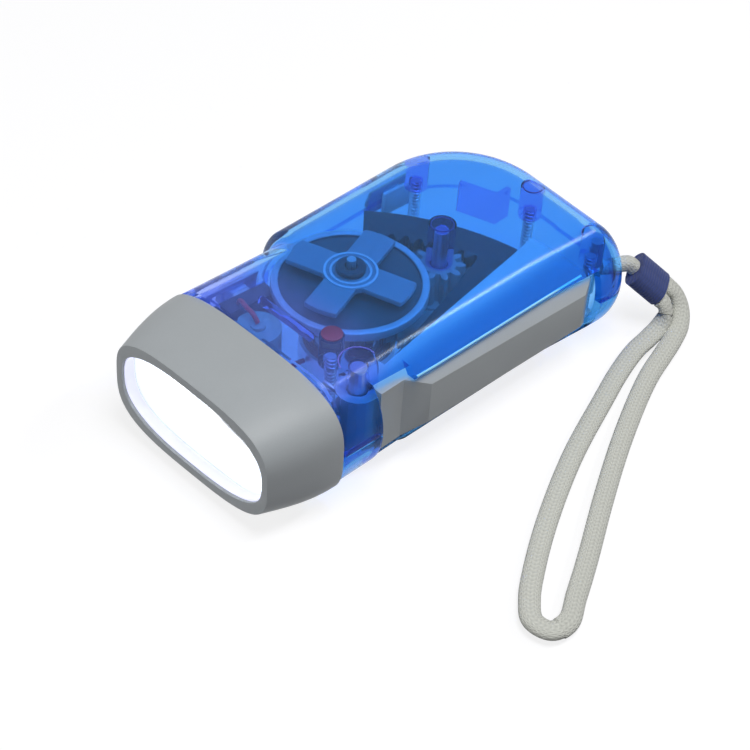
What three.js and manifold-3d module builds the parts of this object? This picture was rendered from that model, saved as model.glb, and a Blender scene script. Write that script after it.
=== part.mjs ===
// A hand-squeezed dynamo torch: clear housing, squeeze lever, geared flywheel dynamo,
// three lamps and a wrist strap.
// Millimetres. +X is the beam, +Y the lever side, +Z up. The torch lies on its right face.
import * as THREE from "three";
import { mergeVertices } from "three/addons/utils/BufferGeometryUtils.js";
import Module from "manifold-3d";

const wasm = await Module();
wasm.setup();

// Housing
const THICKNESS = 32;
const WALL = 1.8;
const GAP = 0.3;
const EDGE_ROUND = 11.85;
const UNDER_LEVER_ROUND = 19;
const GRIP_FRONT_X = 9.5;
const NECK_LENGTH = 25.5;
const REAR_CORNER_RADIUS = 25.7;
const STRAP_CORNER_RADIUS = 9;
const SHARPEST_CORNER = 0.5;
const REAR_CORNER_ROOM = 16.1;
const STRAP_CORNER_ROOM = 12.3;
const SWITCH_SIDE_Y = -28.95;
const STRAP_CORNER_Y = 29.3;
const LEVER_SIDE_BEND = [-25, 26.9];
const LEVER_SIDE_FRONT_Y = 25.4;
const NECK_SWITCH_REAR_Y = -25.5;
const NECK_SWITCH_FRONT_Y = -27.9;
const NECK_LEVER_REAR_Y = 26;
const NECK_LEVER_FRONT_Y = 24.9;
const NECK_HALF_FRONT = 14.83;

// Head
const HEAD_DEPTH = 17.5;
const HEAD_Y = -1.5;
const HEAD_REAR_HALF = [26.35, 14.83];
const HEAD_FRONT_HALF = [22.7, 12.5];
const HEAD_OPENING_HALF = [21.1, 10.5];
const HEAD_SEAT_HALF = [22.1, 11.5];
const HEAD_WALL = 1.5;
const HEAD_SQUARENESS_SHARE = 3.2;
const OPENING_SQUARENESS_SHARE = 2.7;
const LIP_DEPTH = 3;
const LENS_DEPTH = 1.4;
const SPIGOT_DEPTH = 4;
const SPIGOT_WALL = 1.4;
const BOARD_DEPTH = 1.2;
const LAMP_SPACING = 11;
const LAMP_RADIUS = 2.5;
const LAMP_FLANGE = 0.4;
const LAMP_LENGTH = 8;
const BOWL_FRONT_RADIUS = 6.9;
const BOWL_REAR_RADIUS = 3.3;
const BOWL_STRETCH_SHARE = 1.35;

// Lever and its pivot
const PIVOT = [24.3, 16.9];
const LEVER_HALF = 7.9;
const LEVER_FACE_HALF = 5.35;
const LEVER_TAPER_SHARE = 0.83;
const LEVER_WALL = 1.6;
const LEVER_CREASE = [11, 25.1];
const LEVER_REAR_TOP = [-34, 27.1];
const LEVER_KNUCKLE_Y = 22.3;
const LEVER_KNUCKLE_X = [16.4, 22.8];
const LEVER_KNUCKLE_HALF = 8;
const LEVER_KNUCKLE_INNER_Y = 15;
const LEVER_BARREL_RADIUS = 4.6;
const LEVER_BARREL_HALF = 6.8;
const LEVER_PLATE_END_DEG = 188;
const LEVER_END_WALL_DEG = 184;
const LEVER_REAR_EASE_DEG = 2;
const LEVER_PIN_RADIUS = 1.8;
const LEVER_STUDS = [[-25.7, 21.6], [-5.7, 20.6]];
const STUD_RADIUS = 2.3;
const STUD_PEG_RADIUS = 1.2;
const SPRING_TURNS = 2.25;

// Windows cut in the housing for the lever
const WINDOW_REAR_ROOM = 0.7;
const WINDOW_FRONT_X = 24.8;
const WINDOW_HALF = 8.4;
const WINDOW_INNER_Y = 20.6;
const TALL_WINDOW_REAR_X = 15.2;
const TALL_WINDOW_HALF = 11.2;
const TALL_WINDOW_INNER_Y = 17.5;
const OUTSIDE = 60;

// Gear train
const PINION_PITCH_RADIUS = 5;
const PRESSURE_ANGLE_DEG = 25;
const ADDENDUM_SHARE = 0.85;
const DEDENDUM_SHARE = 1.15;
const BACKLASH = 0.14;
const SECTOR_TEETH = 104;
const PINION_TEETH = 10;
const DRIVE_TEETH = 36;
const DRIVE_BEARING_DEG = 203.3;
const ROTOR_BEARING_DEG = -11.64;
const SECTOR_START_DEG = 173;
const SECTOR_SLOT_DEG = 195.4;
const SECTOR_END_DEG = 224;
const CUT_OVERRUN_DEG = 10;
const SECTOR_INNER_RADIUS = 14;
const SECTOR_RIM = 8.2;
const SECTOR_LEVEL = [16.5, 19.5];
const DRIVE_LEVEL = [9.3, 12];
const PINION_TOP = 19.4;
const CLUTCH_LEVEL = [9, 12.4];
const DRIVE_AXLE_RADIUS = 1.5;
const DRIVE_WEB_LEVEL = [10, 11.3];
const DRIVE_WEB_RADII = [6.5, 15];

// Flywheel and dynamo
const ROTOR_AXLE_RADIUS = 1;
const ROTOR_AXLE_LEVEL = [1.2, 30];
const FLYWHEEL_RADIUS = 16.8;
const FLYWHEEL_RIM = 1.6;
const FLYWHEEL_LEVEL = [22, 24.1];
const FLYWHEEL_WEB = 1.2;
const FLYWHEEL_HUB_RADIUS = 4;
const STAR_RADIUS = 14.1;
const STAR_HUB_RADIUS = 6;
const STAR_ARM_HALF = 3.7;
const STAR_ARMS = 4;
const STAR_TURN_DEG = 18;
const STAR_LEVEL = [25.5, 26.8];
const STAR_BASE = 24.9;
const BUSH_RADIUS = 3.2;
const BUSH_LEVEL = [27.1, 28.3];
const MAGNET_RADIUS = 5.6;
const MAGNET_LEVEL = [3.9, 8];
const MAGNET_AIR_GAP = 0.6;
const COIL_WIDTH = 2.1;
const STATOR_SHEET = 0.8;
const STATOR_LEVEL = [2.6, 8.4];
const STATOR_SLOTS = 8;
const STATOR_SLOT_WIDTH = 2;

// Screws and bosses
const CORNER_SCREW_FROM_CORNER = [22.5, 7.65];
const REAR_SCREW_FROM_PIVOT = [-5.3, -14.6];
const STRAP_SCREW_FROM_PIVOT = [-3.6, 4.6];
const NECK_SCREW_FROM_PIVOT = [-1.7, -9.4];
const BOSS_RADIUS = 2.6;
const SCREW_RADIUS = 1.1;
const SCREW_HEAD_RADIUS = 2.1;
const SCREW_HEAD_DEPTH = 1.6;
const SCREW_LEVEL = [6.2, 24];
const SCREW_FOOT_WALL = 1.2;
const AXLE_BOSS_RADIUS = 3;
const PIVOT_BOSS_RADIUS = 4;
const PIN_LEVEL = [4.6, 28.4];
const RIB = 1.2;
const REAR_RIB_FROM_REACH = [[5.4, -25.7], [2.7, -17.8], [-0.5, -17.8]];
const CROSS_RIB_X = 26;
const CROSS_RIB_Y = [-9.5, 4.6];
const RIB_BOTTOM = 22.4;

// Switch in the notch of the neck
const SWITCH_X = 20;
const SWITCH_PLATE = [15, 9];
const SWITCH_PLATE_DEPTH = 0.9;
const SWITCH_PLATE_PROUD = 0.5;
const SWITCH_KNOB = [6.4, 6.4];
const SWITCH_KNOB_DEPTH = 2.6;
const SWITCH_STEM = [4.4, 3.6];
const SWITCH_TRAVEL = 4;
const SWITCH_BODY = [13, 4, 7];
const SWITCH_BODY_INSET = 4.2;

// Lever lock near the rear
const LOCK_BEARING_DEG = 266;
const LOCK_PAD = [13.4, 8];
const LOCK_PAD_DEPTH = 1.4;
const LOCK_STEM = [5, 3];
const LOCK_TRAVEL = 3;
const LOCK_FRAME = [18, 10.4];
const LOCK_FRAME_PROUD = 0.2;
const LOCK_FRAME_DEPTH = 3.6;
const LOCK_KEEPER = [9, 6.4];
const LOCK_KEEPER_DEPTH = 1;

// Cell and wires
const CELL_AT = [25.6, -11];
const CELL_RADIUS = 5;
const CELL_LEVEL = [3.4, 21.6];
const CELL_CAP_RADIUS = 1.6;
const CELL_CAP_HEIGHT = 0.8;
const WIRE_RADIUS = 0.55;
const COIL_WIRE_LEVEL = 6;
const CELL_WIRE_ROUTE = [
  [25.6, -11, 21.9], [25.5, -12.4, 23.2], [25, -15.2, 23.2], [23.8, -18.3, 22.2], [22.8, -20, 19.9],
];
const LAMP_WIRE_ROUTE = [
  [27.7, -21, 16], [30, -20.6, 16], [32.6, -17.8, 16], [35, -15.6, 16], [37.4, -15.2, 16],
];

// Strap
const STRAP_RADIUS = 2.2;
const STRAP_NECK_RADIUS = 1.7;
const STRAP_SIDES = 10;
const LOOP_STEPS = 66;
const LANYARD_BAR_AT = [-46.6, 18.6];
const LANYARD_BAR_RADIUS = 1.2;
const LANYARD_BAR_HALF = 7;
const STRAP_HOLE = [9, 6];
const NECK_ROUTE = [
  [-48.2, 20, 16], [-50, 21.4, 16.1], [-51.9, 22.5, 16.3], [-53.5, 23.5, 16.1], [-54.4, 24.4, 15],
];
const CRIMP_ENDS = [[-54.6, 24.6, 14.8], [-58.6, 29.2, 9.6]];
const CRIMP_HALF = [4.9, 2.9];
const CRIMP_LATERAL = [-0.72, -0.42, 0.2];
const LOOP_ROUTE = [
  [-56.8, 30.55, 8.8], [-57.5, 31.4, 7.85], [-57.5, 32.6, 5.7], [-55, 33.3, 3.4],
  [-50.8, 33.7, 2.5], [-46, 34.2, 2.3], [-38, 36.4, 2.3], [-28.2, 40, 2.3],
  [-11.2, 46.6, 2.3], [6.2, 55.2, 2.3], [18.3, 62.4, 2.3], [25, 67.2, 2.3],
  [28.6, 71.4, 2.3], [27.8, 75.4, 2.3], [23.8, 76.2, 2.3], [17.6, 72.9, 2.3],
  [8.7, 68, 2.3], [-6, 59.4, 2.3], [-20.6, 51.4, 2.3], [-35.1, 44.4, 2.3],
  [-42.7, 41.3, 2.3], [-49.5, 39.2, 2.3], [-54.8, 37.5, 2.4], [-59.4, 35.6, 3],
  [-62.4, 33, 4.8], [-62.9, 30.8, 6.9], [-61.6, 29.2, 8.85], [-60.8, 28.3, 9.9],
];

// Smoothness
const CORNER_STEPS = 7;
const EDGE_STEPS = 10;
const RING_STEPS = 36;
const HEAD_STEPS = 5;
const POST_STEPS = 16;
const WHEEL_STEPS = 36;
const SPRING_STEPS = 40;
const WIRE_SIDES = 8;
const WIRE_STEPS = 12;
const WELD = 1e-4;

// Places worked out from the sizes above
const MID = THICKNESS / 2;
const NECK_FRONT_X = GRIP_FRONT_X + NECK_LENGTH;
const FRONT_X = NECK_FRONT_X + HEAD_DEPTH;
const PIVOT_AT = new THREE.Vector2(...PIVOT);
const MODULE = (2 * PINION_PITCH_RADIUS) / PINION_TEETH;
const SECTOR_PITCH_RADIUS = (SECTOR_TEETH * MODULE) / 2;
const DRIVE_PITCH_RADIUS = (DRIVE_TEETH * MODULE) / 2;
const SECTOR_REACH = SECTOR_PITCH_RADIUS + SECTOR_RIM;
const LEVER_REACH = SECTOR_REACH + LEVER_WALL + GAP;
const LEVER_REAR_X = PIVOT_AT.x - LEVER_REACH;
const WINDOW_REAR_X = LEVER_REAR_X - WINDOW_REAR_ROOM;
const REAR_CORNER = [LEVER_REAR_X - REAR_CORNER_ROOM, SWITCH_SIDE_Y];
const STRAP_CORNER = [LEVER_REAR_X - STRAP_CORNER_ROOM, STRAP_CORNER_Y];
const STATOR_INNER_RADIUS = MAGNET_RADIUS + MAGNET_AIR_GAP;
const STATOR_OUTER_RADIUS = STATOR_INNER_RADIUS + 2 * STATOR_SHEET + COIL_WIDTH + 2 * GAP;
const SECTOR_CENTRES = SECTOR_PITCH_RADIUS - PINION_PITCH_RADIUS;
const DRIVE_CENTRES = DRIVE_PITCH_RADIUS + PINION_PITCH_RADIUS;
const DRIVE_AT = PIVOT_AT.clone().add(polar(SECTOR_CENTRES, radians(DRIVE_BEARING_DEG)));
const ROTOR_AT = DRIVE_AT.clone().add(polar(DRIVE_CENTRES, radians(ROTOR_BEARING_DEG)));
const LENS_FRONT_X = FRONT_X - LIP_DEPTH - GAP;
const LENS_REAR_X = LENS_FRONT_X - LENS_DEPTH;
const SPIGOT_FRONT_X = NECK_FRONT_X + SPIGOT_DEPTH;
const BOARD_FRONT_X = SPIGOT_FRONT_X;
const REFLECTOR_REAR_X = BOARD_FRONT_X + GAP;
const REFLECTOR_FRONT_X = LENS_REAR_X - GAP;

function radians(degrees) {
  return THREE.MathUtils.degToRad(degrees);
}

function polar(radius, angle) {
  return new THREE.Vector2(radius * Math.cos(angle), radius * Math.sin(angle));
}

// Conversion between three.js geometry and solids that can be cut
function solidOf(geometry) {
  const plain = geometry.index ? geometry.toNonIndexed() : geometry.clone();
  plain.deleteAttribute("normal");
  plain.deleteAttribute("uv");
  const merged = mergeVertices(plain, WELD);
  return new wasm.Manifold(
    new wasm.Mesh({
      numProp: 3,
      vertProperties: merged.attributes.position.array,
      triVerts: new Uint32Array(merged.index.array),
    }),
  );
}

function geometryOf(solid) {
  const mesh = solid.getMesh();
  const geometry = new THREE.BufferGeometry();
  geometry.setAttribute("position", new THREE.BufferAttribute(mesh.vertProperties, 3));
  geometry.setIndex(new THREE.BufferAttribute(mesh.triVerts, 1));
  geometry.computeVertexNormals();
  return geometry;
}

function join(first, ...others) {
  return others.reduce((whole, other) => whole.add(other), first);
}

function cut(first, ...others) {
  return others.reduce((whole, other) => whole.subtract(other), first);
}

// Basic solids
function prism(outline, bottom, top) {
  const shape = new THREE.Shape(outline);
  const geometry = new THREE.ExtrudeGeometry(shape, { depth: top - bottom, bevelEnabled: false });
  return solidOf(geometry).translate([0, 0, bottom]);
}

function post(centre, radius, bottom, top, steps = POST_STEPS) {
  const geometry = new THREE.CylinderGeometry(radius, radius, top - bottom, steps);
  geometry.rotateX(Math.PI / 2);
  geometry.translate(centre.x, centre.y, (bottom + top) / 2);
  return solidOf(geometry);
}

function box(low, high) {
  const geometry = new THREE.BoxGeometry(high[0] - low[0], high[1] - low[1], high[2] - low[2]);
  geometry.translate((low[0] + high[0]) / 2, (low[1] + high[1]) / 2, (low[2] + high[2]) / 2);
  return solidOf(geometry);
}

function centredBox(size) {
  return solidOf(new THREE.BoxGeometry(...size));
}

function turned(profile, steps = WHEEL_STEPS) {
  const points = profile.map(([radius, height]) => new THREE.Vector2(radius, height));
  const geometry = new THREE.LatheGeometry([...points, points[0]], steps);
  geometry.rotateX(Math.PI / 2);
  return solidOf(geometry);
}

// A closed body through a row of rings with equal numbers of points
function loft(rings) {
  const count = rings[0].length;
  const positions = rings.flat().flatMap((point) => [point.x, point.y, point.z]);
  const faces = [];
  for (let ring = 0; ring + 1 < rings.length; ring++) {
    for (let step = 0; step < count; step++) {
      const here = ring * count + step;
      const next = ring * count + ((step + 1) % count);
      faces.push(here, next, next + count, here, next + count, here + count);
    }
  }
  addCap(positions, faces, rings[0], 0, true);
  addCap(positions, faces, rings.at(-1), (rings.length - 1) * count, false);
  const geometry = new THREE.BufferGeometry();
  geometry.setAttribute("position", new THREE.Float32BufferAttribute(positions, 3));
  geometry.setIndex(faces);
  return solidOf(geometry);
}

function addCap(positions, faces, ring, start, reversed) {
  const centre = ring.reduce((sum, point) => sum.add(point), new THREE.Vector3()).divideScalar(ring.length);
  const middle = positions.length / 3;
  positions.push(centre.x, centre.y, centre.z);
  ring.forEach((_, step) => {
    const here = start + step;
    const next = start + ((step + 1) % ring.length);
    faces.push(middle, reversed ? next : here, reversed ? here : next);
  });
}

function tube(route, radius, sides, steps) {
  const curve = new THREE.CatmullRomCurve3(route.map((point) => new THREE.Vector3(...point)));
  const circle = Array.from({ length: sides }, (_, side) => polar(radius, (2 * Math.PI * side) / sides));
  const options = { steps, extrudePath: curve, bevelEnabled: false };
  return new THREE.ExtrudeGeometry(new THREE.Shape(circle), options);
}

// The plan outline of a polygon with rounded corners, drawn in by an inset
function roundedOutline(corners, inset) {
  const outline = [];
  corners.forEach((corner, index) => {
    const at = new THREE.Vector2(...corner.at);
    const before = new THREE.Vector2(...corners.at(index - 1).at);
    const after = new THREE.Vector2(...corners[(index + 1) % corners.length].at);
    const into = at.clone().sub(before).normalize();
    const out = after.clone().sub(at).normalize();
    const inward = new THREE.Vector2(-into.y - out.y, into.x + out.x).divideScalar(1 + into.dot(out));
    if (corner.radius === 0) {
      outline.push(at.add(inward.multiplyScalar(inset)));
      return;
    }
    const radius = Math.max(corner.radius - inset, SHARPEST_CORNER);
    const centre = at.add(inward.multiplyScalar(inset + radius));
    const start = Math.atan2(-into.x, into.y);
    const turn = Math.atan2(into.cross(out), into.dot(out));
    for (let step = 0; step <= CORNER_STEPS; step++) {
      outline.push(centre.clone().add(polar(radius, start + (turn * step) / CORNER_STEPS)));
    }
  });
  return outline;
}

// Housing halves

// The angle round the side of the housing, from the flat bottom to the flat top
function sideAngles() {
  return Array.from({ length: EDGE_STEPS + 1 }, (_, step) => Math.PI * (step / EDGE_STEPS - 1 / 2));
}

// How much further than the roof's edge the floor's edge is drawn in below the lever
function underLever(angle, round) {
  return angle < 0 ? (round - EDGE_ROUND) * (1 - Math.cos(angle)) : 0;
}

// The corners of the grip, with the lever's side drawn in
function gripCorners(drawnIn) {
  return [
    { at: REAR_CORNER, radius: REAR_CORNER_RADIUS },
    { at: [FRONT_X, SWITCH_SIDE_Y], radius: 0 },
    { at: [FRONT_X, LEVER_SIDE_FRONT_Y - drawnIn], radius: 0 },
    { at: [LEVER_SIDE_BEND[0], LEVER_SIDE_BEND[1] - drawnIn], radius: 0 },
    { at: [STRAP_CORNER[0], STRAP_CORNER[1] - drawnIn], radius: STRAP_CORNER_RADIUS },
  ];
}

function gripBody(inset) {
  const half = MID - inset;
  const rings = sideAngles().map((angle) => {
    const drawnIn = inset + (EDGE_ROUND - inset) * (1 - Math.cos(angle));
    const outline = roundedOutline(gripCorners(underLever(angle, UNDER_LEVER_ROUND)), drawnIn);
    return outline.map((point) => new THREE.Vector3(point.x, point.y, MID + half * Math.sin(angle)));
  });
  const frontX = GRIP_FRONT_X - inset;
  return cut(loft(rings), box([frontX, -OUTSIDE, -OUTSIDE], [OUTSIDE, OUTSIDE, OUTSIDE]));
}

function neckRing(x, inset) {
  const share = (x - GRIP_FRONT_X) / (NECK_FRONT_X - GRIP_FRONT_X);
  const half = THREE.MathUtils.lerp(MID, NECK_HALF_FRONT, Math.max(share, 0)) - inset;
  const leverY = THREE.MathUtils.lerp(NECK_LEVER_REAR_Y, NECK_LEVER_FRONT_Y, share) - inset;
  const switchY = THREE.MathUtils.lerp(NECK_SWITCH_REAR_Y, NECK_SWITCH_FRONT_Y, share) + inset;
  const round = EDGE_ROUND - inset;
  const underRound = THREE.MathUtils.lerp(UNDER_LEVER_ROUND, EDGE_ROUND, Math.max(share, 0));
  const leverSide = sideAngles().map((angle) => {
    const drawnIn = round * (1 - Math.cos(angle)) + underLever(angle, underRound);
    return new THREE.Vector3(x, leverY - drawnIn, MID + half * Math.sin(angle));
  });
  const switchSide = sideAngles().map(
    (angle) => new THREE.Vector3(x, switchY + round * (1 - Math.cos(angle)), MID - half * Math.sin(angle)),
  );
  return [...leverSide, ...switchSide];
}

function neckBody(inset, rearX, frontX) {
  return loft([neckRing(rearX, inset), neckRing(frontX, inset)]);
}

function housingOutside() {
  const spigotInset = HEAD_WALL + GAP;
  return join(
    gripBody(0),
    neckBody(0, GRIP_FRONT_X - WALL, NECK_FRONT_X),
    neckBody(spigotInset, NECK_FRONT_X - WALL, SPIGOT_FRONT_X),
    lockFrame(),
  );
}

function housingInside() {
  const spigotInset = HEAD_WALL + GAP + SPIGOT_WALL;
  return join(
    gripBody(WALL),
    neckBody(WALL, GRIP_FRONT_X - 2 * WALL, NECK_FRONT_X - WALL),
    neckBody(spigotInset, GRIP_FRONT_X, SPIGOT_FRONT_X + WALL),
  );
}

function leverWindow() {
  const rearX = WINDOW_REAR_X;
  const long = box([rearX, WINDOW_INNER_Y, MID - WINDOW_HALF], [WINDOW_FRONT_X, OUTSIDE, MID + WINDOW_HALF]);
  const tall = box(
    [TALL_WINDOW_REAR_X, TALL_WINDOW_INNER_Y, MID - TALL_WINDOW_HALF],
    [WINDOW_FRONT_X, OUTSIDE, MID + TALL_WINDOW_HALF],
  );
  return join(long, tall);
}

function rib(route, bottom, top) {
  const pieces = [];
  for (let index = 0; index + 1 < route.length; index++) {
    const start = new THREE.Vector2(...route[index]);
    const end = new THREE.Vector2(...route[index + 1]);
    const along = end.clone().sub(start);
    const bar = centredBox([along.length() + RIB, RIB, top - bottom]);
    const laid = bar.rotate([0, 0, (along.angle() * 180) / Math.PI]);
    pieces.push(laid.translate([(start.x + end.x) / 2, (start.y + end.y) / 2, (bottom + top) / 2]));
  }
  return join(...pieces);
}

function screwPlaces() {
  const [acrossX, acrossY] = CORNER_SCREW_FROM_CORNER;
  const reachPoint = new THREE.Vector2(LEVER_REAR_X, PIVOT_AT.y);
  return [
    new THREE.Vector2(REAR_CORNER[0] + acrossX, REAR_CORNER[1] + acrossY),
    reachPoint.clone().add(new THREE.Vector2(...REAR_SCREW_FROM_PIVOT)),
    reachPoint.clone().add(new THREE.Vector2(...STRAP_SCREW_FROM_PIVOT)),
    neckScrewPlace(),
  ];
}

function neckScrewPlace() {
  return PIVOT_AT.clone().add(new THREE.Vector2(...NECK_SCREW_FROM_PIVOT));
}

function rearRibRoute() {
  return REAR_RIB_FROM_REACH.map(([x, y]) => [LEVER_REAR_X + x, PIVOT_AT.y + y]);
}

function crossRibRoute() {
  return CROSS_RIB_Y.map((y) => [CROSS_RIB_X, y]);
}

// Room for the flywheel and its star where the neck wall comes close
function flywheelRoom() {
  const [bottom, top] = FLYWHEEL_LEVEL;
  return join(
    post(ROTOR_AT, FLYWHEEL_RADIUS + GAP, bottom - GAP, top + GAP, WHEEL_STEPS),
    post(ROTOR_AT, STAR_RADIUS + GAP, top, STAR_LEVEL[1] + GAP, WHEEL_STEPS),
  );
}

function shellCuts() {
  return [leverWindow(), switchHole(), lockSlot(), strapHole(), flywheelRoom()];
}

// The upper half, seen in the photo, with everything moulded into its roof
function leftShell(outside, inside) {
  const seam = MID + GAP / 2;
  const roof = [
    ...screwPlaces().map((place) => post(place, BOSS_RADIUS, seam, OUTSIDE)),
    post(ROTOR_AT, AXLE_BOSS_RADIUS, BUSH_LEVEL[1] + GAP, OUTSIDE),
    post(DRIVE_AT, AXLE_BOSS_RADIUS, PINION_TOP + GAP, OUTSIDE),
    post(PIVOT_AT, PIVOT_BOSS_RADIUS, MID + LEVER_KNUCKLE_HALF + GAP, OUTSIDE),
    post(new THREE.Vector2(...LANYARD_BAR_AT), AXLE_BOSS_RADIUS, MID + LANYARD_BAR_HALF - WALL, OUTSIDE),
    rib(rearRibRoute(), RIB_BOTTOM, OUTSIDE),
    rib(crossRibRoute(), RIB_BOTTOM, OUTSIDE),
  ];
  const holes = [
    ...screwPlaces().map((place) => post(place, SCREW_RADIUS + GAP, 0, SCREW_LEVEL[1] + GAP)),
    post(ROTOR_AT, ROTOR_AXLE_RADIUS + GAP, 0, ROTOR_AXLE_LEVEL[1] + GAP),
    post(DRIVE_AT, DRIVE_AXLE_RADIUS + GAP, 0, PIN_LEVEL[1] + GAP),
    post(PIVOT_AT, LEVER_PIN_RADIUS + GAP, 0, PIN_LEVEL[1] + GAP),
    lanyardBarSpace(),
  ];
  const body = join(cut(outside, inside), join(...roof).intersect(outside));
  const keep = box([-OUTSIDE, -OUTSIDE, seam], [OUTSIDE, OUTSIDE, OUTSIDE]);
  return cut(body, ...shellCuts(), ...holes).intersect(keep);
}

// The lower half, which the torch lies on and the screws go in through
function rightShell(outside, inside) {
  const seam = MID - GAP / 2;
  const headRoom = SCREW_HEAD_RADIUS + GAP;
  const headTop = SCREW_LEVEL[0] + SCREW_HEAD_DEPTH + GAP;
  const floor = [
    ...screwPlaces().map((place) => post(place, BOSS_RADIUS, 0, seam)),
    ...screwPlaces().map((place) => post(place, headRoom + SCREW_FOOT_WALL, 0, headTop + SCREW_FOOT_WALL)),
    post(ROTOR_AT, ROTOR_AXLE_RADIUS + WALL, 0, MAGNET_LEVEL[0] - GAP),
    post(ROTOR_AT, STATOR_OUTER_RADIUS, 0, STATOR_LEVEL[0] - GAP),
    post(DRIVE_AT, AXLE_BOSS_RADIUS, 0, DRIVE_LEVEL[0] - GAP),
    post(PIVOT_AT, PIVOT_BOSS_RADIUS, 0, MID - LEVER_KNUCKLE_HALF - GAP),
    post(new THREE.Vector2(...LANYARD_BAR_AT), AXLE_BOSS_RADIUS, 0, MID - LANYARD_BAR_HALF + WALL),
    post(new THREE.Vector2(...CELL_AT), CELL_RADIUS, 0, CELL_LEVEL[0] - GAP),
    rib(rearRibRoute(), 0, THICKNESS - RIB_BOTTOM - WALL),
  ];
  const holes = [
    ...screwPlaces().map((place) => post(place, SCREW_RADIUS + GAP, -GAP, MID)),
    ...screwPlaces().map((place) => post(place, headRoom, -GAP, headTop)),
    post(ROTOR_AT, ROTOR_AXLE_RADIUS + GAP, ROTOR_AXLE_LEVEL[0] - GAP, MID),
    post(DRIVE_AT, DRIVE_AXLE_RADIUS + GAP, WALL, MID),
    post(PIVOT_AT, LEVER_PIN_RADIUS + GAP, PIN_LEVEL[0] - GAP, MID),
    lanyardBarSpace(),
  ];
  const body = join(cut(outside, inside), join(...floor).intersect(outside));
  const keep = box([-OUTSIDE, -OUTSIDE, -OUTSIDE], [OUTSIDE, OUTSIDE, seam]);
  return cut(body, ...shellCuts(), ...holes).intersect(keep);
}

function screw(place) {
  const [bottom, top] = SCREW_LEVEL;
  const headTop = bottom + SCREW_HEAD_DEPTH;
  const slot = centredBox([SCREW_HEAD_RADIUS * 3, SCREW_RADIUS / 2, SCREW_HEAD_DEPTH]);
  const crossing = centredBox([SCREW_RADIUS / 2, SCREW_HEAD_RADIUS * 3, SCREW_HEAD_DEPTH]);
  const drive = join(slot, crossing).translate([place.x, place.y, bottom]);
  const recess = drive.intersect(post(place, SCREW_RADIUS * 1.2, 0, headTop));
  const head = post(place, SCREW_HEAD_RADIUS, bottom, headTop);
  return cut(join(head, post(place, SCREW_RADIUS, bottom, top)), recess);
}

// Head

// A squared oval ring across the beam
function headRing(x, halfWidth, halfHeight, squareness) {
  const power = 2 / squareness;
  return Array.from({ length: RING_STEPS }, (_, step) => {
    const angle = (2 * Math.PI * step) / RING_STEPS;
    const across = Math.sign(Math.cos(angle)) * Math.abs(Math.cos(angle)) ** power;
    const up = Math.sign(Math.sin(angle)) * Math.abs(Math.sin(angle)) ** power;
    return new THREE.Vector3(x, HEAD_Y + halfWidth * across, MID + halfHeight * up);
  });
}

function headPlate(rearX, frontX, half, squareness) {
  return loft([headRing(rearX, ...half, squareness), headRing(frontX, ...half, squareness)]);
}

function headBezel() {
  const rings = Array.from({ length: HEAD_STEPS + 1 }, (_, step) => {
    const share = step / HEAD_STEPS;
    const drawnInShare = 1 - Math.cos((share * Math.PI) / 2);
    const x = THREE.MathUtils.lerp(NECK_FRONT_X + GAP, FRONT_X, share);
    const halfWidth = THREE.MathUtils.lerp(HEAD_REAR_HALF[0], HEAD_FRONT_HALF[0], drawnInShare);
    const halfHeight = THREE.MathUtils.lerp(HEAD_REAR_HALF[1], HEAD_FRONT_HALF[1], drawnInShare);
    return headRing(x, halfWidth, halfHeight, HEAD_SQUARENESS_SHARE);
  });
  const seatX = FRONT_X - LIP_DEPTH;
  const cavityHalf = [HEAD_SEAT_HALF[0] + GAP, HEAD_SEAT_HALF[1] + GAP];
  const spigotSpace = neckBody(HEAD_WALL, NECK_FRONT_X - WALL, SPIGOT_FRONT_X + GAP);
  return cut(
    loft(rings),
    spigotSpace,
    headPlate(NECK_FRONT_X, seatX, cavityHalf, HEAD_SQUARENESS_SHARE),
    headPlate(NECK_FRONT_X, FRONT_X + GAP, HEAD_OPENING_HALF, OPENING_SQUARENESS_SHARE),
  );
}

function lens() {
  return headPlate(LENS_REAR_X, LENS_FRONT_X, HEAD_SEAT_HALF, HEAD_SQUARENESS_SHARE);
}

function lampYs() {
  return [-1, 0, 1].map((side) => HEAD_Y + side * LAMP_SPACING);
}

function reflector() {
  const depth = REFLECTOR_FRONT_X - REFLECTOR_REAR_X;
  const profile = [[0, -GAP], [BOWL_REAR_RADIUS, -GAP]];
  for (let step = 0; step <= HEAD_STEPS; step++) {
    const share = step / HEAD_STEPS;
    profile.push([THREE.MathUtils.lerp(BOWL_REAR_RADIUS, BOWL_FRONT_RADIUS, Math.sqrt(share)), depth * share]);
  }
  profile.push([BOWL_FRONT_RADIUS, depth + GAP], [0, depth + GAP]);
  const bowl = turned(profile, WHEEL_STEPS).rotate([0, 90, 0]).scale([1, 1, BOWL_STRETCH_SHARE]);
  const bowls = lampYs().map((y) => bowl.translate([REFLECTOR_REAR_X, y, MID]));
  return cut(headPlate(REFLECTOR_REAR_X, REFLECTOR_FRONT_X, HEAD_SEAT_HALF, HEAD_SQUARENESS_SHARE), ...bowls);
}

function lamp(y) {
  const flange = LAMP_RADIUS + LAMP_FLANGE;
  const profile = [[0, 0], [flange, 0], [flange, LAMP_FLANGE * 2]];
  for (let step = 0; step <= HEAD_STEPS; step++) {
    const angle = (Math.PI / 2) * (step / HEAD_STEPS);
    const height = LAMP_LENGTH - LAMP_RADIUS + LAMP_RADIUS * Math.sin(angle);
    profile.push([step === HEAD_STEPS ? 0 : LAMP_RADIUS * Math.cos(angle), height]);
  }
  profile.splice(3, 0, [LAMP_RADIUS, LAMP_FLANGE * 2]);
  return turned(profile, POST_STEPS).rotate([0, 90, 0]).translate([BOARD_FRONT_X + GAP, y, MID]);
}

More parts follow.
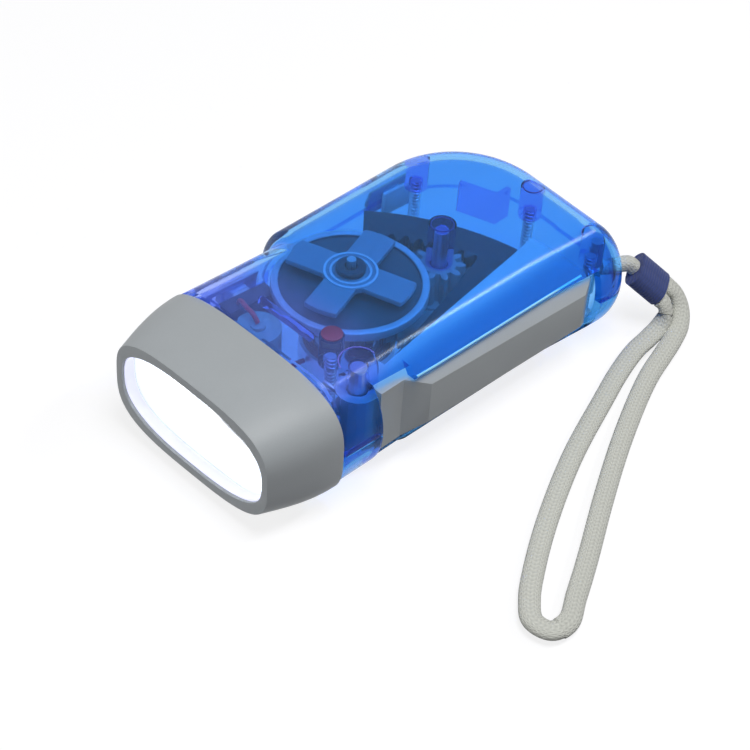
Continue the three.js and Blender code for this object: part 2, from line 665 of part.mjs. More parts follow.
function ledBoard() {
  const inset = HEAD_WALL + GAP + SPIGOT_WALL + GAP;
  const rearX = BOARD_FRONT_X - BOARD_DEPTH;
  return neckBody(inset, rearX, BOARD_FRONT_X);
}

// Gears

// A gear outline with involute flanks; the gap is left on each flank of each tooth
function gearOutline(teeth, addendum, dedendum, gap) {
  const pitch = (teeth * MODULE) / 2;
  const pressure = radians(PRESSURE_ANGLE_DEG);
  const base = pitch * Math.cos(pressure);
  const involute = (angle) => Math.tan(angle) - angle;
  const halfPitchAngle = Math.PI / 2 / teeth - gap / pitch;
  const halfAngleAt = (radius) => {
    const roll = Math.acos(Math.min(base / radius, 1));
    return halfPitchAngle + involute(pressure) - involute(roll);
  };
  const root = pitch - dedendum;
  const tip = pitch + addendum;
  const low = Math.max(base, root + (tip - root) / 8);
  const radii = [root, low, (low + tip) / 2, tip];
  const outline = [];
  for (let tooth = 0; tooth < teeth; tooth++) {
    const middle = (2 * Math.PI * tooth) / teeth;
    radii.forEach((radius) => outline.push(polar(radius, middle - halfAngleAt(radius))));
    [...radii].reverse().forEach((radius) => outline.push(polar(radius, middle + halfAngleAt(radius))));
  }
  return outline;
}

function gear(teeth, bottom, top, turnDeg) {
  const outline = gearOutline(teeth, ADDENDUM_SHARE * MODULE, DEDENDUM_SHARE * MODULE, BACKLASH / 2);
  return prism(outline, bottom, top).rotate([0, 0, turnDeg]);
}

// The large wheel that the pinion on the flywheel axle meshes with, and the long pinion the sector turns
function driveGear() {
  const [bottom, top] = DRIVE_LEVEL;
  const origin = new THREE.Vector2();
  const [webInner, webOuter] = DRIVE_WEB_RADII;
  const groove = (low, high) => {
    const disc = post(origin, webOuter, low, high, WHEEL_STEPS);
    return cut(disc, post(origin, webInner, low, high, WHEEL_STEPS));
  };
  const body = join(
    gear(DRIVE_TEETH, bottom, top, ROTOR_BEARING_DEG),
    gear(PINION_TEETH, top - GAP, PINION_TOP, DRIVE_BEARING_DEG),
  );
  return cut(
    body,
    groove(bottom - GAP, DRIVE_WEB_LEVEL[0]),
    groove(DRIVE_WEB_LEVEL[1], top + GAP),
    post(origin, DRIVE_AXLE_RADIUS + GAP, 0, OUTSIDE),
  ).translate([DRIVE_AT.x, DRIVE_AT.y, 0]);
}

function clutchPinion() {
  const towards = ROTOR_BEARING_DEG + 180 + 180 / PINION_TEETH;
  const bore = post(new THREE.Vector2(), ROTOR_AXLE_RADIUS + GAP, 0, OUTSIDE);
  const [sleeveBottom, sleeveTop] = [CLUTCH_LEVEL[1] - GAP, FLYWHEEL_LEVEL[0] - GAP];
  const sleeve = post(new THREE.Vector2(), ROTOR_AXLE_RADIUS + WALL, sleeveBottom, sleeveTop);
  const body = join(gear(PINION_TEETH, ...CLUTCH_LEVEL, towards), sleeve);
  return cut(body, bore).translate([ROTOR_AT.x, ROTOR_AT.y, 0]);
}

// The fan whose inner teeth drive the long pinion
function toothedSector() {
  const [bottom, top] = SECTOR_LEVEL;
  const fan = fanOutline(SECTOR_INNER_RADIUS, SECTOR_REACH, SECTOR_START_DEG, SECTOR_END_DEG);
  const slot = fanOutline(0, 2 * SECTOR_REACH, SECTOR_SLOT_DEG, SECTOR_END_DEG + CUT_OVERRUN_DEG);
  const spaces = gearOutline(SECTOR_TEETH, DEDENDUM_SHARE * MODULE, ADDENDUM_SHARE * MODULE, -BACKLASH / 2);
  const cutter = prism(spaces, bottom - GAP, top + GAP).rotate([0, 0, DRIVE_BEARING_DEG]);
  const opening = prism(slot, bottom - GAP, top + GAP).intersect(cutter);
  const plate = cut(prism(fan, bottom, top), opening).translate([PIVOT_AT.x, PIVOT_AT.y, 0]);
  return cut(plate, ...leverStuds().map((at) => post(at, STUD_PEG_RADIUS + GAP, bottom - GAP, top + GAP)));
}

// A ring sector about the pivot, or a wedge when its inner radius is zero
function fanOutline(inner, outer, startDeg, endDeg) {
  const steps = CORNER_STEPS * 2;
  const angleAt = (step) => radians(THREE.MathUtils.lerp(startDeg, endDeg, step / steps));
  const angles = Array.from({ length: steps + 1 }, (_, step) => angleAt(step));
  const far = angles.map((angle) => polar(outer, angle));
  const near = inner === 0 ? [new THREE.Vector2()] : angles.reverse().map((angle) => polar(inner, angle));
  return [...far, ...near];
}

// Lever

function leverStuds() {
  return LEVER_STUDS.map((place) => new THREE.Vector2(...place));
}

// The handle in plan: its outer face, its round rear end and its inner edge, drawn in by the wall
function handleOutline(inset, endDeg) {
  const crease = new THREE.Vector2(...LEVER_CREASE);
  const rearTop = new THREE.Vector2(...LEVER_REAR_TOP);
  const reach = LEVER_REACH - inset;
  const rearAngle = rearTop.clone().sub(PIVOT_AT).angle();
  const outline = [
    new THREE.Vector2(LEVER_KNUCKLE_X[0] + WALL, LEVER_KNUCKLE_Y - inset),
    new THREE.Vector2(LEVER_KNUCKLE_X[0], LEVER_KNUCKLE_Y - inset),
    new THREE.Vector2(crease.x, crease.y - inset),
    new THREE.Vector2(rearTop.x, rearTop.y - inset),
  ];
  const start = rearAngle + radians(LEVER_REAR_EASE_DEG);
  const end = radians(endDeg);
  for (let step = 0; step <= CORNER_STEPS; step++) {
    outline.push(polar(reach, start + ((end - start) * step) / CORNER_STEPS).add(PIVOT_AT));
  }
  outline.push(new THREE.Vector2(LEVER_KNUCKLE_X[0] + WALL, LEVER_KNUCKLE_INNER_Y + WALL - inset));
  return outline;
}

// The space inside the two long bevels of the handle, drawn in by a wall. The handle gets
// lower towards its rear end.
function handleBevel(inset) {
  const crease = new THREE.Vector2(...LEVER_CREASE);
  const along = new THREE.Vector2(...LEVER_REAR_TOP).sub(crease).normalize();
  const faceInset = inset * Math.tan(Math.PI / 8);
  const placed = (distance, share) => {
    const half = LEVER_HALF * share - inset;
    const faceHalf = LEVER_FACE_HALF * share - faceInset;
    const drop = half - faceHalf + inset;
    const crossSection = [
      [OUTSIDE, half], [drop, half], [inset, faceHalf], [inset, -faceHalf], [drop, -half], [OUTSIDE, -half],
    ];
    const at = crease.clone().addScaledVector(along, distance);
    return crossSection.map(
      ([depth, height]) => new THREE.Vector3(at.x - along.y * depth, at.y + along.x * depth, MID + height),
    );
  };
  const rearDistance = LEVER_CREASE[0] - LEVER_REAR_X + WALL;
  return loft([placed(-LEVER_BARREL_RADIUS * 2, 1), placed(0, 1), placed(rearDistance, LEVER_TAPER_SHARE)]);
}

function squeezeLever() {
  const shell = prism(handleOutline(0, LEVER_PLATE_END_DEG), 0, THICKNESS);
  const hollow = prism(handleOutline(LEVER_WALL, LEVER_PLATE_END_DEG), 0, THICKNESS);
  const mouthRadii = [LEVER_BARREL_RADIUS + WALL, LEVER_REACH + WALL];
  const mouthOutline = fanOutline(...mouthRadii, LEVER_END_WALL_DEG, LEVER_PLATE_END_DEG + CUT_OVERRUN_DEG);
  const mouth = prism(mouthOutline, 0, THICKNESS).translate([PIVOT_AT.x, PIVOT_AT.y, 0]);
  const [knuckleRear, knuckleFront] = LEVER_KNUCKLE_X;
  const knuckle = box(
    [knuckleRear, LEVER_KNUCKLE_INNER_Y, MID - LEVER_KNUCKLE_HALF],
    [knuckleFront, LEVER_KNUCKLE_Y, MID + LEVER_KNUCKLE_HALF],
  );
  const barrel = post(PIVOT_AT, LEVER_BARREL_RADIUS, MID - LEVER_BARREL_HALF, MID + LEVER_BARREL_HALF);
  const [sectorBottom, sectorTop] = SECTOR_LEVEL;
  const studs = leverStuds().flatMap((at) => [
    post(at, STUD_RADIUS, MID - LEVER_HALF, sectorBottom - GAP),
    post(at, STUD_PEG_RADIUS, MID, sectorTop + 2 * GAP),
  ]);
  const channel = cut(
    shell.intersect(handleBevel(0)),
    join(hollow, mouth).intersect(handleBevel(LEVER_WALL)),
    post(DRIVE_AT, DRIVE_PITCH_RADIUS + MODULE + GAP, 0, DRIVE_LEVEL[1] + GAP, WHEEL_STEPS),
  );
  return cut(
    join(channel, knuckle, barrel, join(...studs).intersect(handleBevel(0))),
    post(PIVOT_AT, LEVER_PIN_RADIUS + GAP, 0, THICKNESS),
    springSpace(),
  );
}

// Room for the spring round the pin
function springSpace() {
  const [bottom, top] = [MID + WALL, MID + LEVER_BARREL_HALF - GAP];
  const reach = LEVER_BARREL_RADIUS - WALL / 2;
  const slotX = [PIVOT_AT.x - LEVER_BARREL_RADIUS * 3, PIVOT_AT.x + LEVER_BARREL_RADIUS];
  return join(
    post(PIVOT_AT, reach, bottom, top),
    box([slotX[0], PIVOT_AT.y - LEVER_BARREL_RADIUS - GAP, bottom], [slotX[1], PIVOT_AT.y, top]),
  );
}

// A torsion spring: turns about the pin, one leg to a screw boss and one to the sector
function leverSpring() {
  const wire = WIRE_RADIUS;
  const radius = LEVER_PIN_RADIUS + GAP + wire + GAP;
  const [bottom, top] = [MID + WALL + GAP + wire, MID + LEVER_BARREL_HALF - 2 * GAP - wire];
  const route = [];
  for (let step = 0; step <= SPRING_STEPS; step++) {
    const share = step / SPRING_STEPS;
    const at = polar(radius, -Math.PI / 2 + 2 * Math.PI * SPRING_TURNS * share).add(PIVOT_AT);
    route.push([at.x, at.y, THREE.MathUtils.lerp(bottom, top, share)]);
  }
  const sectorLeg = PIVOT_AT.x - SECTOR_INNER_RADIUS + 2 * GAP;
  const bossLeg = neckScrewPlace().y + BOSS_RADIUS + GAP;
  const legY = PIVOT_AT.y - radius;
  route.unshift([sectorLeg, legY, bottom], [(sectorLeg + PIVOT_AT.x) / 2, legY, bottom]);
  const last = route.at(-1);
  route.push([last[0], (last[1] + bossLeg) / 2, top], [last[0], bossLeg, top]);
  return solidOf(tube(route, wire, WIRE_SIDES, 2 * SPRING_STEPS));
}

// Flywheel and dynamo

function atRotor(solid) {
  return solid.translate([ROTOR_AT.x, ROTOR_AT.y, 0]);
}

function flywheel() {
  const [bottom, top] = FLYWHEEL_LEVEL;
  const bore = ROTOR_AXLE_RADIUS + GAP;
  return atRotor(
    turned([
      [bore, bottom],
      [FLYWHEEL_RADIUS, bottom],
      [FLYWHEEL_RADIUS, top],
      [FLYWHEEL_RADIUS - FLYWHEEL_RIM, top],
      [FLYWHEEL_RADIUS - FLYWHEEL_RIM, bottom + FLYWHEEL_WEB],
      [FLYWHEEL_HUB_RADIUS, bottom + FLYWHEEL_WEB],
      [FLYWHEEL_HUB_RADIUS, STAR_BASE - GAP],
      [bore, STAR_BASE - GAP],
    ]),
  );
}

function flywheelStar() {
  const [bottom, top] = STAR_LEVEL;
  const origin = new THREE.Vector2();
  const arms = Array.from({ length: STAR_ARMS / 2 }, (_, arm) =>
    centredBox([2 * STAR_RADIUS, 2 * STAR_ARM_HALF, top - bottom])
      .rotate([0, 0, (180 * arm) / (STAR_ARMS / 2)])
      .translate([0, 0, (bottom + top) / 2]),
  );
  const outline = post(origin, STAR_RADIUS, bottom, top, WHEEL_STEPS);
  const hub = post(origin, STAR_HUB_RADIUS, bottom, top, WHEEL_STEPS);
  const foot = post(origin, FLYWHEEL_HUB_RADIUS, STAR_BASE, top, POST_STEPS);
  const plate = join(join(...arms).intersect(outline), hub, foot);
  const bore = post(origin, ROTOR_AXLE_RADIUS + GAP, 0, THICKNESS);
  return atRotor(cut(plate, bore).rotate([0, 0, STAR_TURN_DEG]));
}

function hubBush() {
  const [bottom, top] = BUSH_LEVEL;
  const bore = ROTOR_AXLE_RADIUS + GAP;
  const profile = [[bore, bottom], [BUSH_RADIUS, bottom], [BUSH_RADIUS, top], [bore, top]];
  return atRotor(turned(profile, POST_STEPS));
}

function statorCup() {
  const [bottom, top] = STATOR_LEVEL;
  const cup = turned([
    [STATOR_INNER_RADIUS, bottom],
    [STATOR_OUTER_RADIUS, bottom],
    [STATOR_OUTER_RADIUS, top],
    [STATOR_OUTER_RADIUS - STATOR_SHEET, top],
    [STATOR_OUTER_RADIUS - STATOR_SHEET, bottom + STATOR_SHEET],
    [STATOR_INNER_RADIUS + STATOR_SHEET, bottom + STATOR_SHEET],
    [STATOR_INNER_RADIUS + STATOR_SHEET, top],
    [STATOR_INNER_RADIUS, top],
  ]);
  const slotHeight = top - bottom;
  const reach = STATOR_INNER_RADIUS + 2 * STATOR_SHEET;
  const slots = Array.from({ length: STATOR_SLOTS / 2 }, (_, slot) =>
    centredBox([2 * reach, STATOR_SLOT_WIDTH, slotHeight])
      .rotate([0, 0, (180 * slot) / (STATOR_SLOTS / 2)])
      .translate([0, 0, top]),
  );
  return atRotor(cut(cup, ...slots));
}

function statorCoil() {
  const inner = STATOR_INNER_RADIUS + STATOR_SHEET + GAP;
  const outer = STATOR_OUTER_RADIUS - STATOR_SHEET - GAP;
  const bottom = STATOR_LEVEL[0] + STATOR_SHEET + GAP;
  const top = STATOR_LEVEL[1] - GAP;
  return atRotor(turned([[inner, bottom], [outer, bottom], [outer, top], [inner, top]]));
}

function rotorMagnet() {
  const [bottom, top] = MAGNET_LEVEL;
  const bore = ROTOR_AXLE_RADIUS + GAP;
  return atRotor(turned([[bore, bottom], [MAGNET_RADIUS, bottom], [MAGNET_RADIUS, top], [bore, top]]));
}

// Runs straight from the stator to the side of the cell
function coilWire() {
  const cellAt = new THREE.Vector2(...CELL_AT);
  const towards = cellAt.clone().sub(ROTOR_AT).normalize();
  const start = ROTOR_AT.clone().addScaledVector(towards, STATOR_OUTER_RADIUS + GAP);
  const end = cellAt.clone().addScaledVector(towards, -CELL_RADIUS - GAP);
  const route = [start, start.clone().add(end).divideScalar(2), end];
  return solidOf(tube(route.map((at) => [at.x, at.y, COIL_WIRE_LEVEL]), WIRE_RADIUS, WIRE_SIDES, WIRE_STEPS));
}

// Switch in the notch: drawn flat at the origin, outward face at -Y, then laid on the sloping wall

function switchSlopeDeg() {
  const rise = NECK_SWITCH_FRONT_Y - NECK_SWITCH_REAR_Y;
  return (Math.atan2(rise, NECK_FRONT_X - GRIP_FRONT_X) * 180) / Math.PI;
}

function onSwitchWall(solid) {
  const share = (SWITCH_X - GRIP_FRONT_X) / (NECK_FRONT_X - GRIP_FRONT_X);
  const y = THREE.MathUtils.lerp(NECK_SWITCH_REAR_Y, NECK_SWITCH_FRONT_Y, share);
  return solid.rotate([0, 0, switchSlopeDeg()]).translate([SWITCH_X, y, MID]);
}

function switchHole() {
  const [width, height] = SWITCH_PLATE;
  const seat = centredBox([width + 2 * GAP, WALL, height + 2 * GAP]);
  const recess = seat.translate([0, -SWITCH_PLATE_DEPTH / 2, 0]);
  const travel = SWITCH_STEM[0] + SWITCH_TRAVEL + 2 * GAP;
  const slot = centredBox([travel, SWITCH_BODY_INSET * 2, SWITCH_STEM[1] + 2 * GAP]);
  return onSwitchWall(join(recess, slot));
}

function switchPlate() {
  const [width, height] = SWITCH_PLATE;
  const travel = SWITCH_STEM[0] + SWITCH_TRAVEL + 2 * GAP;
  const plate = centredBox([width, SWITCH_PLATE_DEPTH, height]);
  const slot = centredBox([travel, SWITCH_BODY_INSET, SWITCH_STEM[1] + 2 * GAP]);
  return onSwitchWall(cut(plate, slot).translate([0, SWITCH_PLATE_DEPTH / 2 - SWITCH_PLATE_PROUD - GAP, 0]));
}

function switchKnob() {
  const [width, height] = SWITCH_KNOB;
  const capY = -SWITCH_PLATE_PROUD - 2 * GAP - SWITCH_KNOB_DEPTH / 2;
  const cap = centredBox([width, SWITCH_KNOB_DEPTH, height]).translate([0, capY, 0]);
  const stemEnd = SWITCH_BODY_INSET - 2 * GAP;
  const stem = centredBox([SWITCH_STEM[0], stemEnd - capY, SWITCH_STEM[1]]);
  const knob = join(cap, stem.translate([0, (stemEnd + capY) / 2, 0]));
  return onSwitchWall(knob.translate([-SWITCH_TRAVEL / 2, 0, 0]));
}

function switchBody() {
  const [width, depth, height] = SWITCH_BODY;
  return onSwitchWall(centredBox([width, depth, height]).translate([0, SWITCH_BODY_INSET + depth / 2, 0]));
}

// Lock slider: drawn flat with its outward face at -Y, then laid against the rear corner

function lockPlace() {
  const corner = new THREE.Vector2(...REAR_CORNER);
  const centre = corner.add(new THREE.Vector2(REAR_CORNER_RADIUS, REAR_CORNER_RADIUS));
  return centre.add(polar(REAR_CORNER_RADIUS, radians(LOCK_BEARING_DEG)));
}

function onRearCorner(solid) {
  const place = lockPlace();
  return solid.rotate([0, 0, LOCK_BEARING_DEG - 270]).translate([place.x, place.y, MID]);
}

// The flat raised frame that the lock slides on
function lockFrame() {
  const [width, height] = LOCK_FRAME;
  const frame = centredBox([width, LOCK_FRAME_DEPTH, height]);
  return onRearCorner(frame.translate([0, LOCK_FRAME_DEPTH / 2 - LOCK_FRAME_PROUD, 0]));
}

function lockSlot() {
  const width = LOCK_STEM[0] + LOCK_TRAVEL + 2 * GAP;
  const pocketDepth = LOCK_FRAME_DEPTH + WALL;
  const pocketStart = WALL - LOCK_FRAME_PROUD;
  const pocket = centredBox([LOCK_KEEPER[0] + LOCK_TRAVEL + 2 * GAP, pocketDepth, LOCK_KEEPER[1] + 2 * GAP]);
  const slot = centredBox([width, LOCK_FRAME_DEPTH * 3, LOCK_STEM[1] + 2 * GAP]);
  return onRearCorner(join(pocket.translate([0, pocketStart + pocketDepth / 2, 0]), slot));
}

function lockSlider() {
  const padY = -LOCK_FRAME_PROUD - GAP - LOCK_PAD_DEPTH / 2;
  const keeperY = WALL - LOCK_FRAME_PROUD + GAP + LOCK_KEEPER_DEPTH / 2;
  const pad = centredBox([LOCK_PAD[0], LOCK_PAD_DEPTH, LOCK_PAD[1]]).translate([0, padY, 0]);
  const stem = centredBox([LOCK_STEM[0], keeperY - padY, LOCK_STEM[1]]);
  const keeper = centredBox([LOCK_KEEPER[0], LOCK_KEEPER_DEPTH, LOCK_KEEPER[1]]);
  const inner = join(stem.translate([0, (keeperY + padY) / 2, 0]), keeper.translate([0, keeperY, 0]));
  return onRearCorner(join(pad, inner).translate([-LOCK_TRAVEL / 2, 0, 0]));
}

// Strap

function lanyardBarSpace() {
  const at = new THREE.Vector2(...LANYARD_BAR_AT);
  return post(at, LANYARD_BAR_RADIUS + GAP, MID - LANYARD_BAR_HALF - GAP, MID + LANYARD_BAR_HALF + GAP);
}

function strapHole() {
  const [width, height] = STRAP_HOLE;
  const start = new THREE.Vector3(...NECK_ROUTE[0]);
  const end = new THREE.Vector3(...NECK_ROUTE.at(-1));
  const angle = Math.atan2(end.y - start.y, end.x - start.x);
  const bore = centredBox([width, height, height]).rotate([0, 0, (angle * 180) / Math.PI]);
  return bore.translate([(start.x + end.x) / 2 - GAP, (start.y + end.y) / 2 - GAP, MID]);
}

function strapCrimp() {
  const start = new THREE.Vector3(...CRIMP_ENDS[0]);
  const end = new THREE.Vector3(...CRIMP_ENDS[1]);
  const along = end.clone().sub(start).normalize();
  const side = new THREE.Vector3(...CRIMP_LATERAL);
  side.addScaledVector(along, -side.dot(along)).normalize();
  const normal = along.clone().cross(side);
  const geometry = new THREE.CylinderGeometry(1, 1, end.distanceTo(start), POST_STEPS);
  geometry.rotateX(Math.PI / 2);
  geometry.scale(CRIMP_HALF[0], CRIMP_HALF[1], 1);
  geometry.applyMatrix4(new THREE.Matrix4().makeBasis(side, normal, along));
  const middle = start.add(end).divideScalar(2);
  geometry.translate(middle.x, middle.y, middle.z);
  return solidOf(geometry);
}

// The group

const torch = new THREE.Group();

function add(name, solid, color, roughness, metalness = 0, opacity = 1) {
  const look = { color, roughness, metalness, opacity, transparent: opacity < 1 };
  const mesh = new THREE.Mesh(geometryOf(solid), new THREE.MeshStandardMaterial(look));
  mesh.name = name;
  torch.add(mesh);
}

const outside = housingOutside();
const inside = housingInside();
add("left_shell", leftShell(outside, inside), "#1d6fe0", 0.15, 0, 0.45);
add("right_shell", rightShell(outside, inside), "#1d6fe0", 0.15, 0, 0.45);
screwPlaces().forEach((place, index) => add(`screw_${index + 1}`, screw(place), "#a9adb3", 0.35, 1));

add("head_bezel", headBezel(), "#9a9ea3", 0.5);
add("lens", lens(), "#f2f5ff", 0.05, 0, 0.4);
add("reflector", reflector(), "#dfe3ea", 0.08, 1);
lampYs().forEach((y, index) => add(`led_${index + 1}`, lamp(y), "#fdfdff", 0.1));
add("led_board", ledBoard(), "#2f6b3a", 0.6);

add("squeeze_lever", squeezeLever(), "#9a9ea3", 0.5);
add("toothed_sector", toothedSector(), "#25272c", 0.5);
add("lever_pin", post(PIVOT_AT, LEVER_PIN_RADIUS, ...PIN_LEVEL), "#b9bdc4", 0.3, 1);
add("lever_spring", leverSpring(), "#8d9197", 0.35, 1);

add("drive_gear", driveGear(), "#e8e6df", 0.45);
add("drive_gear_axle", post(DRIVE_AT, DRIVE_AXLE_RADIUS, WALL + GAP, PIN_LEVEL[1]), "#b9bdc4", 0.3, 1);
add("clutch_pinion", clutchPinion(), "#c9a24b", 0.35, 1);
add("rotor_axle", post(ROTOR_AT, ROTOR_AXLE_RADIUS, ...ROTOR_AXLE_LEVEL), "#d7dade", 0.25, 1);
add("flywheel", flywheel(), "#6b7078", 0.4);
add("flywheel_star", flywheelStar(), "#8f949c", 0.45);
add("hub_bush", hubBush(), "#1d1f24", 0.5);
add("rotor_magnet", rotorMagnet(), "#3a3c40", 0.6);
add("stator_cup", statorCup(), "#a4a8ad", 0.4, 1);
add("stator_coil", statorCoil(), "#b5622b", 0.45, 0.6);

add("switch_plate", switchPlate(), "#c4c8cd", 0.3, 1);
add("switch_knob", switchKnob(), "#8d9196", 0.5);
add("switch_body", switchBody(), "#26282c", 0.5);
add("lock_slider", lockSlider(), "#9a9ea3", 0.5);

const cellAt = new THREE.Vector2(...CELL_AT);
const cellTop = CELL_LEVEL[1] - CELL_CAP_HEIGHT;
const cell = join(
  post(cellAt, CELL_RADIUS, CELL_LEVEL[0], cellTop, WHEEL_STEPS),
  post(cellAt, CELL_CAP_RADIUS, cellTop, CELL_LEVEL[1]),
);
add("storage_cell", cell, "#c7cbb8", 0.4);
add("coil_wire", coilWire(), "#b0382c", 0.5);
add("cell_wire", solidOf(tube(CELL_WIRE_ROUTE, WIRE_RADIUS, WIRE_SIDES, WIRE_STEPS)), "#b0382c", 0.5);
add("lamp_wire", solidOf(tube(LAMP_WIRE_ROUTE, WIRE_RADIUS, WIRE_SIDES, WIRE_STEPS)), "#22262c", 0.5);

const barAt = new THREE.Vector2(...LANYARD_BAR_AT);
const bar = post(barAt, LANYARD_BAR_RADIUS, MID - LANYARD_BAR_HALF, MID + LANYARD_BAR_HALF);
add("lanyard_bar", bar, "#b9bdc4", 0.3, 1);
add("strap_neck", solidOf(tube(NECK_ROUTE, STRAP_NECK_RADIUS, STRAP_SIDES, 6)), "#d7d8d0", 0.9);
add("strap_crimp", strapCrimp(), "#27407f", 0.6);
add("wrist_strap", solidOf(tube(LOOP_ROUTE, STRAP_RADIUS, STRAP_SIDES, LOOP_STEPS)), "#d7d8d0", 0.9);

export default torch;
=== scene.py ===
"""A hand-squeezed dynamo torch.

It has a clear blue housing, a grey lever and head, a flywheel dynamo inside and a braided wrist strap.
"""

import math

import bmesh
import bpy
from mathutils import Matrix, Vector


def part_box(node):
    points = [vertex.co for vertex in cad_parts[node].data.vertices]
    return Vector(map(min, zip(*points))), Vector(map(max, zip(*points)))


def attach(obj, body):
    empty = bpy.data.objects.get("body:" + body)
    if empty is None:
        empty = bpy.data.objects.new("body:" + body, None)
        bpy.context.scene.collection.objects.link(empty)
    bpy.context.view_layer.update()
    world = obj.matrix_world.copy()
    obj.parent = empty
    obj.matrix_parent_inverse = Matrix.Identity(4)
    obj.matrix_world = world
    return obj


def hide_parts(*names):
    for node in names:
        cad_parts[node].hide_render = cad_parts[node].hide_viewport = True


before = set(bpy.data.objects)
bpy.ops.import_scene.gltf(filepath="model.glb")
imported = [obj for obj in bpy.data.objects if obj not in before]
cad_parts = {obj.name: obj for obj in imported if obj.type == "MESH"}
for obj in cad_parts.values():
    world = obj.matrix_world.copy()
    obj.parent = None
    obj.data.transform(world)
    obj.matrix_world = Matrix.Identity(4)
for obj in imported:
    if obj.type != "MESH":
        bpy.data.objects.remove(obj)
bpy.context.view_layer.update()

# Sizes are in millimetres and become metres where a mesh, lamp or camera is made
MM = 0.001

# Camera
CAMERA_AT = (255.44, 232.32, 323.65)
CAMERA_RIGHT = (-0.7097, 0.7025, 0.0542)
CAMERA_UP = (-0.4544, -0.5152, 0.7267)
LENS_LENGTH = 104.64
SENSOR_WIDTH = 36
NEAREST_SEEN = 10
FARTHEST_SEEN = 20000

# Housing
THICKNESS = 32
WALL = 1.8
GAP = 0.3
EDGE_ROUND = 11.85
UNDER_LEVER_ROUND = 19
GRIP_FRONT_X = 9.5
NECK_LENGTH = 25.5
REAR_CORNER_RADIUS = 25.7
STRAP_CORNER_RADIUS = 9
SHARPEST_CORNER = 0.5
REAR_CORNER = (-53.9, -28.95)
STRAP_CORNER = (-50.1, 29.3)
LEVER_SIDE_BEND = (-25, 26.9)
LEVER_SIDE_MIDDLE_Y = 26.1
LEVER_SIDE_FRONT_Y = 24.9
NECK_SWITCH_REAR_Y = -25.5
NECK_SWITCH_FRONT_Y = -27.9
NOTCH_EASE = 1.6
NECK_HALF_FRONT = 14.83
SEAM_GAP = 0.3
EASED_EDGE = 0.28

# Head
HEAD_DEPTH = 17.5
HEAD_Y = -1.5
HEAD_REAR_HALF = (26.35, 14.83)
HEAD_FRONT_HALF = (22.7, 12.5)
HEAD_OPENING_HALF = (21.1, 10.5)
HEAD_SEAT_HALF = (22.1, 11.5)
HEAD_WALL = 1.5
HEAD_SQUARENESS_SHARE = 3.2
OPENING_SQUARENESS_SHARE = 2.7
LIP_DEPTH = 3
LIP_ROUND = 0.7
LINING = 0.2
LENS_DEPTH = 1.4
LENS_EASE = 0.35
SPIGOT_DEPTH = 4
SPIGOT_WALL = 1.4
LAMP_SPACING = 11
LAMP_RADIUS = 2.5
LAMP_FLANGE = 0.4
LAMP_LENGTH = 8
BOWL_FRONT_RADIUS = 6.9
BOWL_REAR_RADIUS = 3
BOWL_STRETCH_SHARE = 1.35

# Lever window and places in plan
WINDOW_X = (-38.5, 24.8)
WINDOW_HALF = 8.4
WINDOW_INNER_Y = 20.6
TALL_WINDOW_X = (15.2, 24.8)
TALL_WINDOW_HALF = 11.2
TALL_WINDOW_INNER_Y = 17.5
OUTSIDE = 70
PIVOT_AT = (24.3, 16.9)
DRIVE_AT = (-18.867, -1.6906)
ROTOR_AT = (3.66, -6.3312)
CORNER_SCREW_AT = (-31.4, -21.3)
REAR_SCREW_AT = (-43.1, 2.3)
STRAP_SCREW_AT = (-41.4, 21.5)
NECK_SCREW_AT = (22.6, 7.5)
SCREW_PLACES = (CORNER_SCREW_AT, REAR_SCREW_AT, STRAP_SCREW_AT, NECK_SCREW_AT)

# Bosses and ribs
BOSS_RADIUS = 2.6
SCREW_RADIUS = 1.1
SCREW_LEVEL = (6.2, 24)
AXLE_BOSS_RADIUS = 3
PIVOT_BOSS_RADIUS = 4
KNUCKLE_HALF = 8
PIN_TOP = 28.4
PINION_TOP = 19.4
PIVOT_PIN_RADIUS = 1.8
BOSS_TOP = 30.15
BOSS_SHOWN = 1.8
BUNG_RADIUS = 2.3
BUNG_DEPTH = 0.5
BOSS_RINGS = ((PIVOT_AT, 4.2), (STRAP_SCREW_AT, 2.8), (REAR_SCREW_AT, 2.3), (DRIVE_AT, 2.6))
BOSS_RING_WIDTH = 0.22
RIB = 1.2
RIB_BOTTOM = 22.4
CROSS_RIB_BOTTOM = 28.4
REAR_RIB = ((-32.4, -8.8), (-35.1, -0.9), (-38.3, -0.9))
CROSS_RIB = ((26, -9.5), (26, 4.6))

# Flywheel and dynamo
ROTOR_AXLE_RADIUS = 1
FLYWHEEL_RADIUS = 16.8
FLYWHEEL_RIM = 1.6
FLYWHEEL_LEVEL = (22, 24.1)
FLYWHEEL_WEB = 1.2
FLYWHEEL_HUB_RADIUS = 4
STAR_BASE = 24.9
STAR_TOP = 26.8
HUB_RING_RADII = (5.8, 4.5)
HUB_RING_WIDTH = 0.5
HUB_RING_HEIGHT = 0.25
BUSH_RADIUS = 3.2
BUSH_LEVEL = (27.1, 28.3)

# Dynamo winding, wires, spring and screw threads
STATOR_OUTER_RADIUS = 10.5
STATOR_SHEET = 0.8
STATOR_LEVEL = (2.6, 8.4)
COIL_WIDTH = 2.1
COIL_STRAND = 0.24
WINDING_LAYERS = 4
WINDING_ROWS = 9
WINDING_STEPS = 56
CELL_AT = (25.6, -11)
CELL_RADIUS = 5
COIL_WIRE_LEVEL = 6
CELL_WIRE_ROUTE = (
    (25.6, -11, 21.9), (25.5, -12.4, 23.2), (25, -15.2, 23.2), (23.8, -18.3, 22.2), (22.8, -20, 19.9),
)
LAMP_WIRE_ROUTE = (
    (27.7, -21, 16), (30, -20.6, 16), (32.6, -17.8, 16), (35, -15.6, 16), (37.4, -15.2, 16),
)
WIRE_RADIUS = 0.55
WIRE_SIDES = 14
SPRING_TURNS = 2.25
SECTOR_INNER_RADIUS = 14
BARREL_HALF = 6.8
THREAD_START = 3
